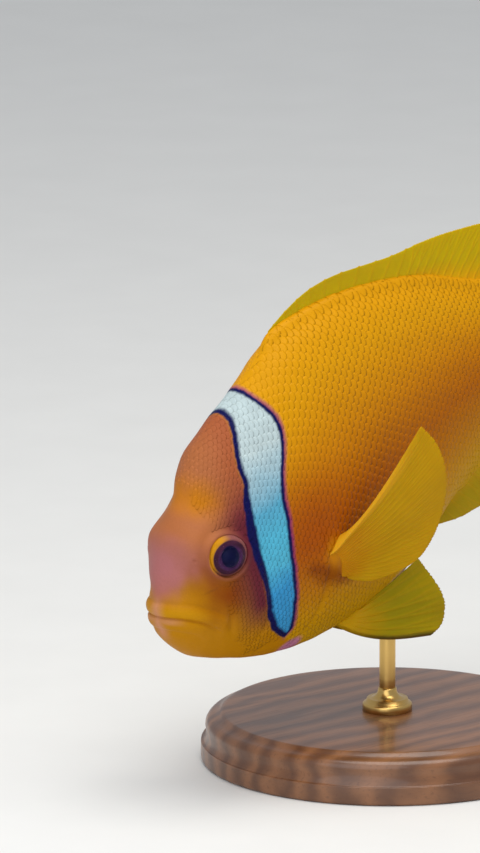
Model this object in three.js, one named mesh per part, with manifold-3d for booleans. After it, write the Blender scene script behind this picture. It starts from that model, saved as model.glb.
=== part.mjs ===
// A life-size tomato clownfish on a small display stand, as a three.js scene graph of closed solids.
//
// The fish is laid out straight first, in the usual fish measure of hundredths of the standard length
// (snout tip to tail-fin base): x runs back from the snout tip, y to the fish's own left, z up from the
// body's axis. The pose function then bends it sideways, tips its head down and sets it on the stand,
// in millimetres, with +Z up, the head towards -X and the origin at the middle of the stand's foot.

import * as THREE from "three";
import { mergeVertices } from "three/addons/utils/BufferGeometryUtils.js";
import Module from "manifold-3d";

// ---- Driving dimensions -------------------------------------------------------------------------
const STANDARD_LENGTH = 96; // mm, snout tip to tail-fin base
const GAP = 0.3; // mm, left between solids that touch
const HEAD_DOWN = THREE.MathUtils.degToRad(20.7); // tilt of the body axis
const TAIL_TURN = THREE.MathUtils.degToRad(11.4); // sideways turn of the tail-fin base against the head
const STIFF_TO = 22; // the skull and first back bones don't bend
const BEND_SPAN = 100 - STIFF_TO; // stretch over which the turn is spread

const BASE_RADIUS = 30; // mm
const BASE_HEIGHT = 8; // mm
const BASE_BEVEL = 1.6; // mm
const COLLAR_RADIUS = 4; // mm
const COLLAR_HEIGHT = 3.4; // mm
const ROD_RADIUS = 1.3; // mm
const ROD_AT = 47; // where along the belly the rod enters
const ROD_SOCKET = 7; // mm, depth of the rod in the belly
const FLOAT_HEIGHT = 14; // mm, between the stand's top and the lowest point of the throat

const HEAD_END = 31.5; // rear of the head piece
const STEM_START = 80; // start of the tail stem
const EYE = { x: 12.6, y: 5.5, z: 4.6, radius: 4.3 };
const ORBIT = { reach: 2.2, radius: 3.95, lip: 0.72 }; // the raised rim round an eye, and how far out it lies
const TOE = THREE.MathUtils.degToRad(17); // how far forward an eye looks
const GILL_PLATE = 1.5; // mm, thickness of a gill cover

const SIDES = [["left", 1], ["right", -1]]; // the fish's own sides, by the sign of y
const UNIT = STANDARD_LENGTH / 100; // mm in one hundredth of the standard length
const gapUnits = GAP / UNIT;

// Loft stations of the body: distance from the snout, back, belly and half width.
const STATIONS = [
  { x: 0, back: -3.2, belly: -4.2, half: 0.9 },
  { x: 1.5, back: 1.9, belly: -8.7, half: 4.1 },
  { x: 4, back: 6.4, belly: -11.4, half: 5.8 },
  { x: 8, back: 11.9, belly: -14.2, half: 7.5 },
  { x: 12, back: 15.9, belly: -16.6, half: 8.4 },
  { x: 16, back: 19.3, belly: -18.7, half: 9.1 },
  { x: 20, back: 21.9, belly: -20.3, half: 9.6 },
  { x: 25, back: 23.9, belly: -21.7, half: 10.0 },
  { x: 30, back: 25.7, belly: -22.6, half: 10.1 },
  { x: 35, back: 28.2, belly: -23.1, half: 10.1 },
  { x: 40, back: 29.9, belly: -23.2, half: 9.8 },
  { x: 50, back: 29.6, belly: -22.0, half: 8.6 },
  { x: 60, back: 27.5, belly: -17.2, half: 7.1 },
  { x: 70, back: 23.6, belly: -12.2, half: 5.6 },
  { x: 80, back: 17.6, belly: -8.1, half: 4.1 },
  { x: 90, back: 13.1, belly: -5.0, half: 2.7 },
  { x: 100, back: 12.1, belly: -4.0, half: 1.7 },
];

// Value of one column of the stations at x, by a cubic through them in the square root of x, which
// rounds the snout.
function station(column, x) {
  const at = (i) => Math.sqrt(STATIONS[i].x);
  const t = Math.sqrt(Math.max(0, Math.min(x, 100)));
  let i = 0;
  while (i < STATIONS.length - 2 && at(i + 1) < t) i += 1;
  const slope = (j) => {
    const lo = Math.max(0, j - 1);
    const hi = Math.min(STATIONS.length - 1, j + 1);
    return (STATIONS[hi][column] - STATIONS[lo][column]) / (at(hi) - at(lo));
  };
  const width = at(i + 1) - at(i);
  const u = (t - at(i)) / width;
  const [a, b] = [STATIONS[i][column], STATIONS[i + 1][column]];
  return (
    a * (1 + 2 * u) * (1 - u) ** 2 +
    slope(i) * width * u * (1 - u) ** 2 +
    b * u * u * (3 - 2 * u) +
    slope(i + 1) * width * u * u * (u - 1)
  );
}

// ---- Pose ---------------------------------------------------------------------------------------
// Where the bent centre line is, x units back from the snout, and its heading there.
function spine(x) {
  const past = Math.max(0, x - STIFF_TO);
  const heading = (TAIL_TURN * past) / BEND_SPAN;
  const straight = Math.min(x, STIFF_TO);
  if (past === 0) return { along: straight, side: 0, heading };
  const radius = BEND_SPAN / TAIL_TURN;
  return {
    along: straight + radius * Math.sin(heading),
    side: radius * (1 - Math.cos(heading)),
    heading,
  };
}

// From the straight fish to the bent and tipped one, still with the snout at the origin, in mm.
function tip(x, y, z) {
  const { along, side, heading } = spine(x);
  const back = (along - y * Math.sin(heading)) * UNIT;
  const left = (side + y * Math.cos(heading)) * UNIT;
  const up = z * UNIT;
  return new THREE.Vector3(
    back * Math.cos(HEAD_DOWN) - up * Math.sin(HEAD_DOWN),
    -left,
    back * Math.sin(HEAD_DOWN) + up * Math.cos(HEAD_DOWN),
  );
}

const THROAT_AT = 18; // the throat's lowest point, once the head is tipped down
const throat = tip(THROAT_AT, 0, station("belly", THROAT_AT));
const rodTop = tip(ROD_AT, 0, station("belly", ROD_AT));
const lift = BASE_HEIGHT + FLOAT_HEIGHT - throat.z;

// From the straight fish to its place on the stand, whose rod stands on the origin.
function pose(x, y, z) {
  const p = tip(x, y, z);
  return new THREE.Vector3(p.x - rodTop.x, p.y - rodTop.y, p.z + lift);
}

// ---- Solids -------------------------------------------------------------------------------------
const wasm = await Module();
wasm.setup();

// A closed manifold-3d solid of a three.js geometry that is already in place.
function solid(geometry) {
  const bare = new THREE.BufferGeometry();
  bare.setAttribute("position", geometry.getAttribute("position"));
  if (geometry.index) bare.setIndex(geometry.index);
  const merged = mergeVertices(bare, 1e-3);
  return new wasm.Manifold(
    new wasm.Mesh({
      numProp: 3,
      vertProperties: merged.attributes.position.array,
      triVerts: new Uint32Array(merged.index.array),
    }),
  );
}

// The biggest connected piece of a solid, without the crumbs that a cut can leave.
function largest(body) {
  return body.decompose().reduce((best, piece) => (piece.volume() > best.volume() ? piece : best));
}

// The same solid as a three.js geometry.
function geometryOf(body) {
  const mesh = body.getMesh();
  const geometry = new THREE.BufferGeometry();
  const points = new Float32Array(mesh.numVert * 3);
  for (let i = 0; i < mesh.numVert; i += 1) {
    points.set(mesh.vertProperties.subarray(i * mesh.numProp, i * mesh.numProp + 3), i * 3);
  }
  geometry.setAttribute("position", new THREE.BufferAttribute(points, 3));
  geometry.setIndex(new THREE.BufferAttribute(new Uint32Array(mesh.triVerts), 1));
  geometry.computeVertexNormals();
  return geometry;
}

// A closed skin over rings of posed points; each end ring is closed by a fan to its middle.
function loft(rings) {
  const count = rings[0].length;
  const points = rings.flat();
  const faces = [];
  for (let r = 0; r < rings.length - 1; r += 1) {
    for (let i = 0; i < count; i += 1) {
      const a = r * count + i;
      const b = r * count + ((i + 1) % count);
      faces.push(a, a + count, b, b, a + count, b + count);
    }
  }
  for (const [ring, turned] of [[0, false], [rings.length - 1, true]]) {
    const middle = points.length;
    const centre = new THREE.Vector3();
    rings[ring].forEach((p) => centre.addScaledVector(p, 1 / count));
    points.push(centre);
    for (let i = 0; i < count; i += 1) {
      const a = ring * count + i;
      const b = ring * count + ((i + 1) % count);
      faces.push(...(turned ? [a, middle, b] : [b, middle, a]));
    }
  }
  const geometry = new THREE.BufferGeometry().setFromPoints(points);
  geometry.setIndex(faces);
  const made = solid(geometry);
  return made.volume() < 0 ? solid(flipped(geometry)) : made;
}

function flipped(geometry) {
  const index = Array.from(geometry.index.array);
  for (let i = 0; i < index.length; i += 3) {
    [index[i + 1], index[i + 2]] = [index[i + 2], index[i + 1]];
  }
  return geometry.clone().setIndex(index);
}

// ---- Body ---------------------------------------------------------------------------------------
const RING_POINTS = 28;
const WIDEST_AT = 0.47; // height of the widest line, as a share of the depth
const SECTION_POWER = 0.55; // 0.5 gives an ellipse, more gives sharper back and belly

// Half width of the body at x and z, or 0 outside it.
function halfWidth(x, z) {
  const [back, belly] = [station("back", x), station("belly", x)];
  const middle = belly + (back - belly) * WIDEST_AT;
  const v = z > middle ? (z - middle) / (back - middle) : (middle - z) / (middle - belly);
  return Math.abs(v) < 1 ? station("half", x) * (1 - v * v) ** SECTION_POWER : 0;
}

// One cross-section of the body, grown outwards by some units.
function bodyRing(x, grow) {
  const [back, belly] = [station("back", x) + grow, station("belly", x) - grow];
  const half = station("half", x) + grow;
  const middle = belly + (back - belly) * WIDEST_AT;
  return Array.from({ length: RING_POINTS }, (_, i) => {
    const angle = (2 * Math.PI * i) / RING_POINTS;
    const v = Math.sin(angle);
    const y = half * Math.sign(Math.cos(angle)) * (1 - v * v) ** SECTION_POWER;
    const z = middle + v * (v > 0 ? back - middle : middle - belly);
    return pose(x, y, z);
  });
}

// The body between two cross-sections, with rings packed closer towards the snout.
function bodyLength(from, to, rings, grow = 0) {
  const [a, b] = [Math.sqrt(from), Math.sqrt(to)];
  return loft(
    Array.from({ length: rings }, (_, i) => bodyRing((a + ((b - a) * i) / (rings - 1)) ** 2, grow)),
  );
}

// A side outline in x and z, given as corner points, made into a prism across the body from y to y.
function sidePrism(outline, yFrom, yTo) {
  const shape = new THREE.Shape(outline.map(([x, z]) => new THREE.Vector2(x, z)));
  const geometry = new THREE.ExtrudeGeometry(shape, { depth: Math.abs(yTo - yFrom), bevelEnabled: false });
  const points = geometry.getAttribute("position");
  const start = Math.min(yFrom, yTo);
  for (let i = 0; i < points.count; i += 1) {
    const p = pose(points.getX(i), start + points.getZ(i), points.getY(i));
    points.setXYZ(i, p.x, p.y, p.z);
  }
  const made = solid(geometry);
  return made.volume() < 0 ? solid(flipped(mergeVertices(geometry))) : made;
}

// An outline whose sides have moved outwards by some units.
function widened(outline, by) {
  const count = outline.length;
  const turn = Math.sign(THREE.ShapeUtils.area(outline.map(([x, z]) => new THREE.Vector2(x, z))));
  const side = (i) => {
    const [a, b] = [outline[i % count], outline[(i + 1) % count]];
    const reach = Math.hypot(b[0] - a[0], b[1] - a[1]);
    const normal = [(turn * (b[1] - a[1])) / reach, (-turn * (b[0] - a[0])) / reach];
    return { normal, offset: normal[0] * a[0] + normal[1] * a[1] + by };
  };
  return outline.map((_corner, i) => {
    const [p, q] = [side(i + count - 1), side(i)];
    const det = p.normal[0] * q.normal[1] - p.normal[1] * q.normal[0];
    if (Math.abs(det) < 1e-3) return outline[i].map((value, k) => value + q.normal[k] * by);
    return [
      (p.offset * q.normal[1] - q.offset * p.normal[1]) / det,
      (q.offset * p.normal[0] - p.offset * q.normal[0]) / det,
    ];
  });
}

// ---- Fins ---------------------------------------------------------------------------------------
const FIN_ROOT = 1.0; // mm, half thickness of a fin where it leaves the body
const FIN_EDGE = 0.32; // mm, half thickness at its free edge

// A plate whose rays run from root(u) to edge(u); both are functions of u from 0 to 1. The rays bow by
// a vector that fades towards the last ray.
function finPlate(root, edge, columns, rows, rootHalf = FIN_ROOT, bow = [0, 0, 0]) {
  const at = (i, j) => {
    const [u, v] = [i / columns, j / rows];
    const [a, b] = [root(u), edge(u)];
    const bent = Math.sin(Math.PI * v ** 0.8) * (1 - 0.7 * u);
    return pose(...a.map((value, k) => value + (b[k] - value) * v + bow[k] * bent));
  };
  const face = (sign, i, j) => {
    const along = at(Math.min(columns, i + 1), j).sub(at(Math.max(0, i - 1), j));
    const out = at(i, Math.min(rows, j + 1)).sub(at(i, Math.max(0, j - 1)));
    const half = rootHalf + ((FIN_EDGE - rootHalf) * j) / rows;
    return at(i, j).addScaledVector(along.cross(out).normalize(), sign * half);
  };
  // Each ring goes up one face of the plate and down the other, so that the rings close its edges.
  return loft(
    Array.from({ length: columns + 1 }, (_, i) => [
      ...Array.from({ length: rows + 1 }, (_unused, j) => face(1, i, j)),
      ...Array.from({ length: rows + 1 }, (_unused, j) => face(-1, i, rows - j)),
    ]),
  );
}

// A smooth curve of three numbers through the points given.
function through(points) {
  const curve = new THREE.CatmullRomCurve3(points.map((p) => new THREE.Vector3(...p)), false, "catmullrom", 0.5);
  return (u) => curve.getPoint(u).toArray();
}

// A fin on the back or belly: its root follows the body's edge from x to x, sunk in a little, and its
// free edge runs through points given as [x, z], scalloped between the spines where it has any.
function medianFin({ from, to, column, edge, columns, rows, spines = 0 }) {
  const SUNK = 2.2;
  const SCALLOP = 0.7;
  const sign = column === "back" ? 1 : -1;
  const curve = through(edge.map(([x, z]) => [x, 0, z]));
  const root = (u) => {
    const x = from + (to - from) * u;
    return [x, 0, station(column, x) - sign * SUNK];
  };
  const rim = (u) => {
    const [x, , z] = curve(u);
    return [x, 0, z - sign * SCALLOP * Math.abs(Math.sin(Math.PI * spines * u)) * Math.min(1, 4 * u)];
  };
  return finPlate(root, rim, columns, rows);
}

// A paired fin: a fan of rays from a short root line to a curved free edge, on the left side; side -1
// mirrors it to the right.
function pairedFin({ root, edge, columns, rows, bow, side }) {
  const [bowX, bowY, bowZ] = bow;
  const mirror = (f) => (u) => {
    const [x, y, z] = f(u);
    return [x, y * side, z];
  };
  return finPlate(mirror(through(root)), mirror(through(edge)), columns, rows, FIN_ROOT, [bowX, bowY * side, bowZ]);
}

const SPINY_DORSAL = {
  from: 37, to: 64.6, column: "back", columns: 20, rows: 2, spines: 10,
  edge: [[38.8, 31.1], [43.5, 32.7], [48.5, 33.7], [54, 33.5], [60, 32.2], [65.6, 30.9], [70.4, 30.2]],
};
const SOFT_DORSAL = {
  from: 65.2, to: 87, column: "back", columns: 14, rows: 4,
  edge: [[71, 30.1], [76, 29.2], [80.5, 28.1], [85, 26.9], [89.3, 25.2], [92.4, 22.4], [93.2, 19.2], [91, 16.2]],
};
const ANAL = {
  from: 58, to: 87, column: "belly", columns: 16, rows: 4,
  edge: [[60.4, -19.1], [64.2, -19.7], [68.5, -20.1], [73, -20.4], [78, -20.6], [83, -20.0], [87.5, -18],
    [90.6, -14.6], [91.2, -10.8], [89.8, -7.6]],
};
const PECTORAL = {
  root: [[30.8, 9.0, -4.9], [31.4, 8.6, -7.8], [32.3, 7.8, -10.8]],
  edge: [[51.3, 17.4, 10.1], [52.9, 17.7, 6.2], [53.1, 17.8, 1.6], [51.9, 17.2, -3.2], [48.9, 15.9, -7.7],
    [44.6, 14.0, -11.8], [39.8, 11.6, -14.6]],
  bow: [-1.9, 1.4, -2.2], columns: 12, rows: 6,
};
const PELVIC = {
  root: [[32.4, 2.3, -21.6], [34.4, 2.2, -21.9], [36.8, 2.1, -22.0]],
  edge: [[48.6, 5.1, -32.8], [51.4, 5.2, -32.3], [53.0, 5.2, -29.6], [53.5, 4.9, -26.1], [52.7, 4.4, -22.4],
    [51.7, 4.2, -19.4]],
  bow: [-0.6, 0, -1.8], columns: 9, rows: 5,
};

// The tail fin: rays fan out from the rear of the tail stem to a round edge.
function tailFin() {
  const ROOT_HALF = 7.6;
  const SPREAD = THREE.MathUtils.degToRad(26);
  const OUTER_RAY = 18.5;
  const ROUNDNESS = 5.8; // how much further the middle rays reach than the outer ones
  const COLUMNS = 16;
  const ROWS = 4;
  const MIDDLE = (station("back", 100) + station("belly", 100)) / 2;
  const root = (u) => [100 + gapUnits, 0, MIDDLE + ROOT_HALF * (1 - 2 * u)];
  const edge = (u) => {
    const turn = SPREAD * (1 - 2 * u);
    const ray = OUTER_RAY + ROUNDNESS * (1 - (1 - 2 * u) ** 4);
    return [100 + gapUnits + ray * Math.cos(turn), 0, root(u)[2] + ray * Math.sin(turn)];
  };
  return finPlate(root, edge, COLUMNS, ROWS, FIN_ROOT * 1.2);
}

// ---- Eyes and head parts ------------------------------------------------------------------------
function eyeball(side, grow) {
  const ball = new THREE.SphereGeometry(EYE.radius * UNIT + grow, 18, 11);
  const at = pose(EYE.x, EYE.y * side, EYE.z);
  return solid(ball.translate(at.x, at.y, at.z));
}

// The rim round an eye socket, turned a little forward.
function orbitRim(side) {
  const ring = new THREE.TorusGeometry(ORBIT.radius * UNIT, ORBIT.lip * UNIT, 6, 18);
  ring.rotateX(Math.PI / 2);
  ring.rotateZ(side * -TOE);
  ring.rotateY(-HEAD_DOWN);
  const out = EYE.y + ORBIT.reach * Math.cos(TOE);
  const at = pose(EYE.x - ORBIT.reach * Math.sin(TOE), out * side, EYE.z);
  return solid(ring.translate(at.x, at.y, at.z));
}

// The gill cover's outline: round at the back, nearly straight at the front.
function gillOutline() {
  const MIDDLE = { x: 20.6, z: -4.6 };
  const REAR = 9.2;
  const FRONT = 2.2;
  const TALL = 12.4;
  const CORNERS = 18;
  return Array.from({ length: CORNERS }, (_, i) => {
    const a = (2 * Math.PI * i) / CORNERS;
    const reach = Math.cos(a) > 0 ? REAR : FRONT;
    return [MIDDLE.x + reach * Math.cos(a), MIDDLE.z + TALL * Math.sin(a)];
  });
}

// The mouth's cleft from the snout to its corner, and the outlines of the jaws above and below it.
const CLEFT = [[-2, -1.3], [1.5, -2.4], [4.5, -4.6], [7.2, -7.8]];
const UPPER_JAW = [[-2, 0.4], ...CLEFT, [8.6, -7.2], [8.0, -4.6], [5.6, -1.4], [2.6, 0.2]];
const LOWER_JAW = [...CLEFT, [9.4, -11], [10.6, -15], [10.4, -20], [-2, -20]];
const WIDE = 16; // further to the side than any part of the head

function headParts() {
  const whole = bodyLength(0, HEAD_END, 20);
  const core = bodyLength(0, HEAD_END, 20, -GILL_PLATE / UNIT);
  const deeper = bodyLength(0, HEAD_END, 20, -GILL_PLATE / UNIT - gapUnits);
  const upperRoom = sidePrism(widened(UPPER_JAW, gapUnits), -WIDE, WIDE);
  const lowerRoom = sidePrism(widened(LOWER_JAW, gapUnits), -WIDE, WIDE);
  const parts = {
    head: whole.subtract(upperRoom).subtract(lowerRoom),
    upper_jaw: whole.intersect(sidePrism(UPPER_JAW, -WIDE, WIDE)),
    lower_jaw: whole.intersect(sidePrism(LOWER_JAW, -WIDE, WIDE)).subtract(upperRoom),
  };
  for (const [name, side] of SIDES) {
    const socket = eyeball(side, GAP);
    const outline = gillOutline();
    const plate = sidePrism(outline, side * 3, side * WIDE);
    const room = sidePrism(widened(outline, gapUnits), side * 3, side * WIDE);
    parts.head = parts.head.subtract(room.subtract(deeper)).add(orbitRim(side)).subtract(socket);
    parts[`gill_cover_${name}`] = whole.intersect(plate).subtract(core);
    parts[`eye_${name}`] = eyeball(side, 0);
  }
  return parts;
}

// ---- Stand --------------------------------------------------------------------------------------
const STAND_SIDES = 40;

// A solid turned about the Z axis from a profile of radius and height.
function turned(profile, sides) {
  const points = profile.map(([r, h]) => new THREE.Vector2(r, h));
  const geometry = new THREE.LatheGeometry(points, sides);
  return solid(geometry.rotateX(Math.PI / 2));
}

function standBase() {
  const inner = ROD_RADIUS + GAP;
  return turned(
    [
      [0, 0], [BASE_RADIUS - BASE_BEVEL / 2, 0], [BASE_RADIUS, BASE_BEVEL / 2],
      [BASE_RADIUS, BASE_HEIGHT - BASE_BEVEL], [BASE_RADIUS - BASE_BEVEL, BASE_HEIGHT],
      [inner, BASE_HEIGHT], [inner, BASE_HEIGHT / 2], [0, BASE_HEIGHT / 2],
    ],
    STAND_SIDES,
  );
}

function standCollar() {
  const inner = ROD_RADIUS + GAP;
  const foot = BASE_HEIGHT + GAP;
  const top = foot + COLLAR_HEIGHT;
  return turned(
    [
      [inner, foot], [COLLAR_RADIUS, foot], [COLLAR_RADIUS, foot + COLLAR_HEIGHT / 2],
      [COLLAR_RADIUS * 0.62, top], [inner, top], [inner, foot],
    ],
    STAND_SIDES / 2,
  );
}

const rodEnd = rodTop.z + lift + ROD_SOCKET;

function standRod(grow) {
  const foot = BASE_HEIGHT / 2 + GAP;
  const r = ROD_RADIUS + grow;
  return turned([[0, foot], [r, foot], [r, rodEnd + grow], [0, rodEnd + grow]], 20);
}

// ---- Assembly -----------------------------------------------------------------------------------
const FINISH = {
  skin: { color: 0xc8741a, roughness: 0.45 },
  fin: { color: 0xb89a1c, roughness: 0.5 },
  eye: { color: 0x1c1220, roughness: 0.12 },
  wood: { color: 0x2b1d15, roughness: 0.4 },
  brass: { color: 0xb08a4a, roughness: 0.3, metalness: 1 },
};

function assemble() {
  const group = new THREE.Group();
  const add = (name, body, finish) => {
    const mesh = new THREE.Mesh(geometryOf(largest(body)), new THREE.MeshStandardMaterial(FINISH[finish]));
    mesh.name = name;
    group.add(mesh);
  };

  const rodRoom = standRod(GAP);
  for (const [name, body] of Object.entries(headParts())) {
    add(name, body, name.startsWith("eye") ? "eye" : "skin");
  }
  add("trunk", bodyLength(HEAD_END + gapUnits, STEM_START, 16).subtract(rodRoom), "skin");
  add("tail_stem", bodyLength(STEM_START + gapUnits, 100, 6), "skin");

  const clearance = bodyLength(20, 100, 24, gapUnits);
  add("dorsal_fin_spiny", medianFin(SPINY_DORSAL).subtract(clearance), "fin");
  add("dorsal_fin_soft", medianFin(SOFT_DORSAL).subtract(clearance), "fin");
  add("anal_fin", medianFin(ANAL).subtract(clearance), "fin");
  add("tail_fin", tailFin(), "fin");
  for (const [name, side] of SIDES) {
    add(`pectoral_fin_${name}`, pairedFin({ ...PECTORAL, side }).subtract(clearance), "fin");
    add(`pelvic_fin_${name}`, pairedFin({ ...PELVIC, side }).subtract(clearance), "fin");
  }

  add("stand_base", standBase(), "wood");
  add("stand_collar", standCollar(), "brass");
  add("stand_rod", standRod(0), "brass");
  return group;
}

export default assemble();
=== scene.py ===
"""A life-size tomato clownfish on a display stand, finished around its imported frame.

The fish is shaped straight and then bent into its pose. Straight places are (x, y, z): x runs
back from the snout, y to the fish's left and z up, all in UNIT, a hundredth of its standard length.
"""

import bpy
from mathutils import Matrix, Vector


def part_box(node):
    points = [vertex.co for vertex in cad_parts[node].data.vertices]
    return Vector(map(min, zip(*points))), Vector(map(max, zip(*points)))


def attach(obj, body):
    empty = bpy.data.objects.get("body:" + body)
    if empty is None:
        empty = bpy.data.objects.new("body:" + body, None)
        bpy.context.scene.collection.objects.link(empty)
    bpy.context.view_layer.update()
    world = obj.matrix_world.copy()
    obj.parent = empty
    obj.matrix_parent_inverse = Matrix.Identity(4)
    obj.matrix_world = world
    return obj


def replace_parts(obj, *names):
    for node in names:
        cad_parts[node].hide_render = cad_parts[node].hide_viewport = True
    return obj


bl_info = {
    "name": "Clownfish display model",
    "version": (1, 0, 0),
    "blender": (4, 5, 0),
    "location": "View3D > Sidebar > Clownfish",
    "description": "Builds the skin, scales, fins, eyes, stand and stage of a clownfish model",
    "category": "Object",
}

import math

import bpy
import numpy as np
from bpy.props import FloatProperty, FloatVectorProperty, IntProperty, PointerProperty
from mathutils import Vector

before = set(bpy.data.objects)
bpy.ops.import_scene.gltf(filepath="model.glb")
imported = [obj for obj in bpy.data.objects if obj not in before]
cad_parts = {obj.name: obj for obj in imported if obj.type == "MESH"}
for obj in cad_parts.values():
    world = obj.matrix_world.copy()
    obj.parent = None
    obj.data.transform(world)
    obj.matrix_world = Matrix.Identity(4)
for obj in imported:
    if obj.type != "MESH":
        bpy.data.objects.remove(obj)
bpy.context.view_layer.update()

# ---- the fish's own measures

UNIT = 0.96e-3
HEAD_DOWN = math.radians(20.7)
TAIL_TURN = math.radians(11.4)
STIFF_TO = 22.0
BEND_SPAN = 78.0
WIDEST_AT = 0.47
SECTION_POWER = 1.1
# x, back, belly and half width of the body
STATIONS = np.array((
    (0, -3.2, -4.2, 0.9), (1.5, 1.9, -8.7, 4.1), (4, 6.4, -11.4, 5.8), (8, 11.9, -14.2, 7.5),
    (12, 15.9, -16.6, 8.4), (16, 19.3, -18.7, 9.1), (20, 21.9, -20.3, 9.6), (25, 23.9, -21.7, 10.0),
    (30, 25.7, -22.6, 10.1), (35, 28.2, -23.1, 10.1), (40, 29.9, -23.2, 9.8), (50, 29.6, -22.0, 8.6),
    (60, 27.5, -17.2, 7.1), (70, 23.6, -12.2, 5.6), (80, 17.6, -8.1, 4.1), (90, 13.1, -5.0, 2.7),
    (100, 12.1, -4.0, 1.7)))
BACK, BELLY, HALF = 1, 2, 3
ROD_AT = 47.0
THROAT_AT = 18.0
THROAT_HEIGHT = 22.0e-3
RINGS = 384
RING_POINTS = 236
NOSE_RINGS = 4
STEM_RINGS = 5
COAT_DEPTH = 0.06

EYE_AT = np.array((12.6, 5.5, 4.6))
EYE_RADIUS = 4.3
EYE_TOE = math.radians(17)
ORBIT_CREST = 3.64
CLEFT = ((-2, -1.3), (1.5, -2.4), (4.5, -4.6), (7.2, -7.8))
UPPER_LIP = 2.35
LOWER_LIP = 2.2
NOSTRIL = (6.9, 6.2)
NOSTRIL_SIZE = 0.4
CHEEK_EDGE = ((15.6, 7.5), (17.6, 2), (17.4, -5), (15.4, -11.5), (11.5, -15.2))
GILL_EDGE = ((24.0, 12.5), (28.0, 7.6), (29.9, 1.0), (29.5, -6), (27.4, -12.4), (23.2, -17.6), (17.5, -20.6))
# height: x of the bar's front and rear edges
BAR = np.array((
    (-16.2, 19.6, 20.0), (-15, 18.4, 21.1), (-12.6, 16.7, 21.5), (-9.3, 16.0, 22.1), (-5.5, 16.1, 22.6),
    (-1.5, 16.3, 23.1), (2, 16.3, 23.9), (5.2, 16.7, 24.8), (8, 17.4, 25.3), (10.5, 18.3, 26.2),
    (12.3, 19.0, 27.2), (14.2, 19.9, 28.5), (16.2, 20.2, 29.8), (18.3, 21.1, 30.7), (20.6, 22.7, 30.9),
    (22.7, 24.0, 30.3), (25, 24.6, 29.4), (30, 25.4, 28.6)))
# soft swellings and dips: height, x and its reach, z and its reach, and whether the midline is spared
MOUNDS = (
    (0.42, 7.7, 0.9, -5.9, 2.0, False),     # end of the jaw
    (-0.3, 9.1, 0.5, -6.3, 2.4, False),     # fold behind the mouth
    (0.85, 7.6, 2.6, 8.1, 2.9, False),      # nose
    (-0.95, 12.2, 3.0, 13.2, 2.6, False),   # dip above the eye
    (0.35, 17.6, 2.4, 17.9, 2.4, False),    # nape
    (-0.5, 3.3, 1.5, 1.3, 1.7, True),       # dip above the lip
    (0.95, 31.2, 2.3, -6.9, 3.2, True),     # lobe that carries the pectoral fin
    (-0.3, 35.6, 1.5, -9.2, 3.2, True))     # hollow behind the lobe
# grooves along the mouth: depth, place across it, width, and where along it they start to fade
MOUTH_GROOVES = ((0.2, 0, 0.24, 0.9), (0.1, 2.6, 0.4, 0.8), (0.12, -2.5, 0.5, 0.7))


def blend_step(value, low, high):
    """0 below low, 1 above high, and smooth between them; high may be the lower one."""
    t = np.clip((value - low) / (high - low), 0, 1)
    return t * t * (3 - 2 * t)


def window(value, rise_from, rise_to, fall_from, fall_to):
    """1 between two soft edges and 0 outside them."""
    return blend_step(value, rise_from, rise_to) * blend_step(value, fall_to, fall_from)


def hump(value, centre, width):
    """A soft hump of height 1."""
    return np.exp(-((value - centre) / width) ** 2)


def unit(vectors):
    """Vectors brought to length 1."""
    return vectors / np.maximum(np.linalg.norm(vectors, axis=-1, keepdims=True), 1e-9)


def cubic(s, start, leaving, end, arriving):
    """The cubic between two values with these slopes, at s from 0 to 1."""
    return ((2 * s**3 - 3 * s**2 + 1) * start + (s**3 - 2 * s**2 + s) * leaving
            + (3 * s**2 - 2 * s**3) * end + (s**3 - s**2) * arriving)


def station(column, x):
    """Back, belly or half width at x: a cubic through the stations over the root of x."""
    knots = np.sqrt(STATIONS[:, 0])
    values = STATIONS[:, column]
    rise, run = (np.pad(a, 1, "edge") for a in (values, knots))
    slopes = (rise[2:] - rise[:-2]) / (run[2:] - run[:-2])
    t = np.sqrt(np.clip(x, 0, STATIONS[-1, 0]))
    j = np.clip(np.searchsorted(knots, t, side="right") - 1, 0, len(knots) - 2)
    span = knots[j + 1] - knots[j]
    return cubic((t - knots[j]) / span, values[j], span * slopes[j], values[j + 1], span * slopes[j + 1])


def lean(points):
    """Straight places bent along the spine and tipped head down, in units."""
    x, y, z = np.moveaxis(np.asarray(points, float), -1, 0)
    heading = TAIL_TURN * np.maximum(x - STIFF_TO, 0) / BEND_SPAN
    radius = BEND_SPAN / TAIL_TURN
    along = np.minimum(x, STIFF_TO) + (radius - y) * np.sin(heading)
    left = radius * (1 - np.cos(heading)) + y * np.cos(heading)
    drop, reach = math.sin(HEAD_DOWN), math.cos(HEAD_DOWN)
    return np.stack((along * reach - z * drop, -left, along * drop + z * reach), -1)


ROD_TOP = lean((ROD_AT, 0, station(BELLY, ROD_AT))) * UNIT
THROAT = lean((THROAT_AT, 0, station(BELLY, THROAT_AT))) * UNIT
HELD_AT = np.array((-ROD_TOP[0], -ROD_TOP[1], THROAT_HEIGHT - THROAT[2]))


def pose(points):
    """Straight places in the pose over the stand, in metres."""
    return lean(points) * UNIT + HELD_AT


def smooth_path(points, t):
    """The smooth path through points at t from 0 to 1."""
    points = np.asarray(points, float)
    ends = np.vstack((2 * points[0] - points[1], points, 2 * points[-1] - points[-2]))
    place = np.clip(t, 0, 1) * (len(points) - 1)
    j = np.minimum(place.astype(int), len(points) - 2)
    before, start, end, after = (ends[j + k] for k in range(4))
    return cubic((place - j)[..., None], start, (end - before) / 2, end, (after - start) / 2)


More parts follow.
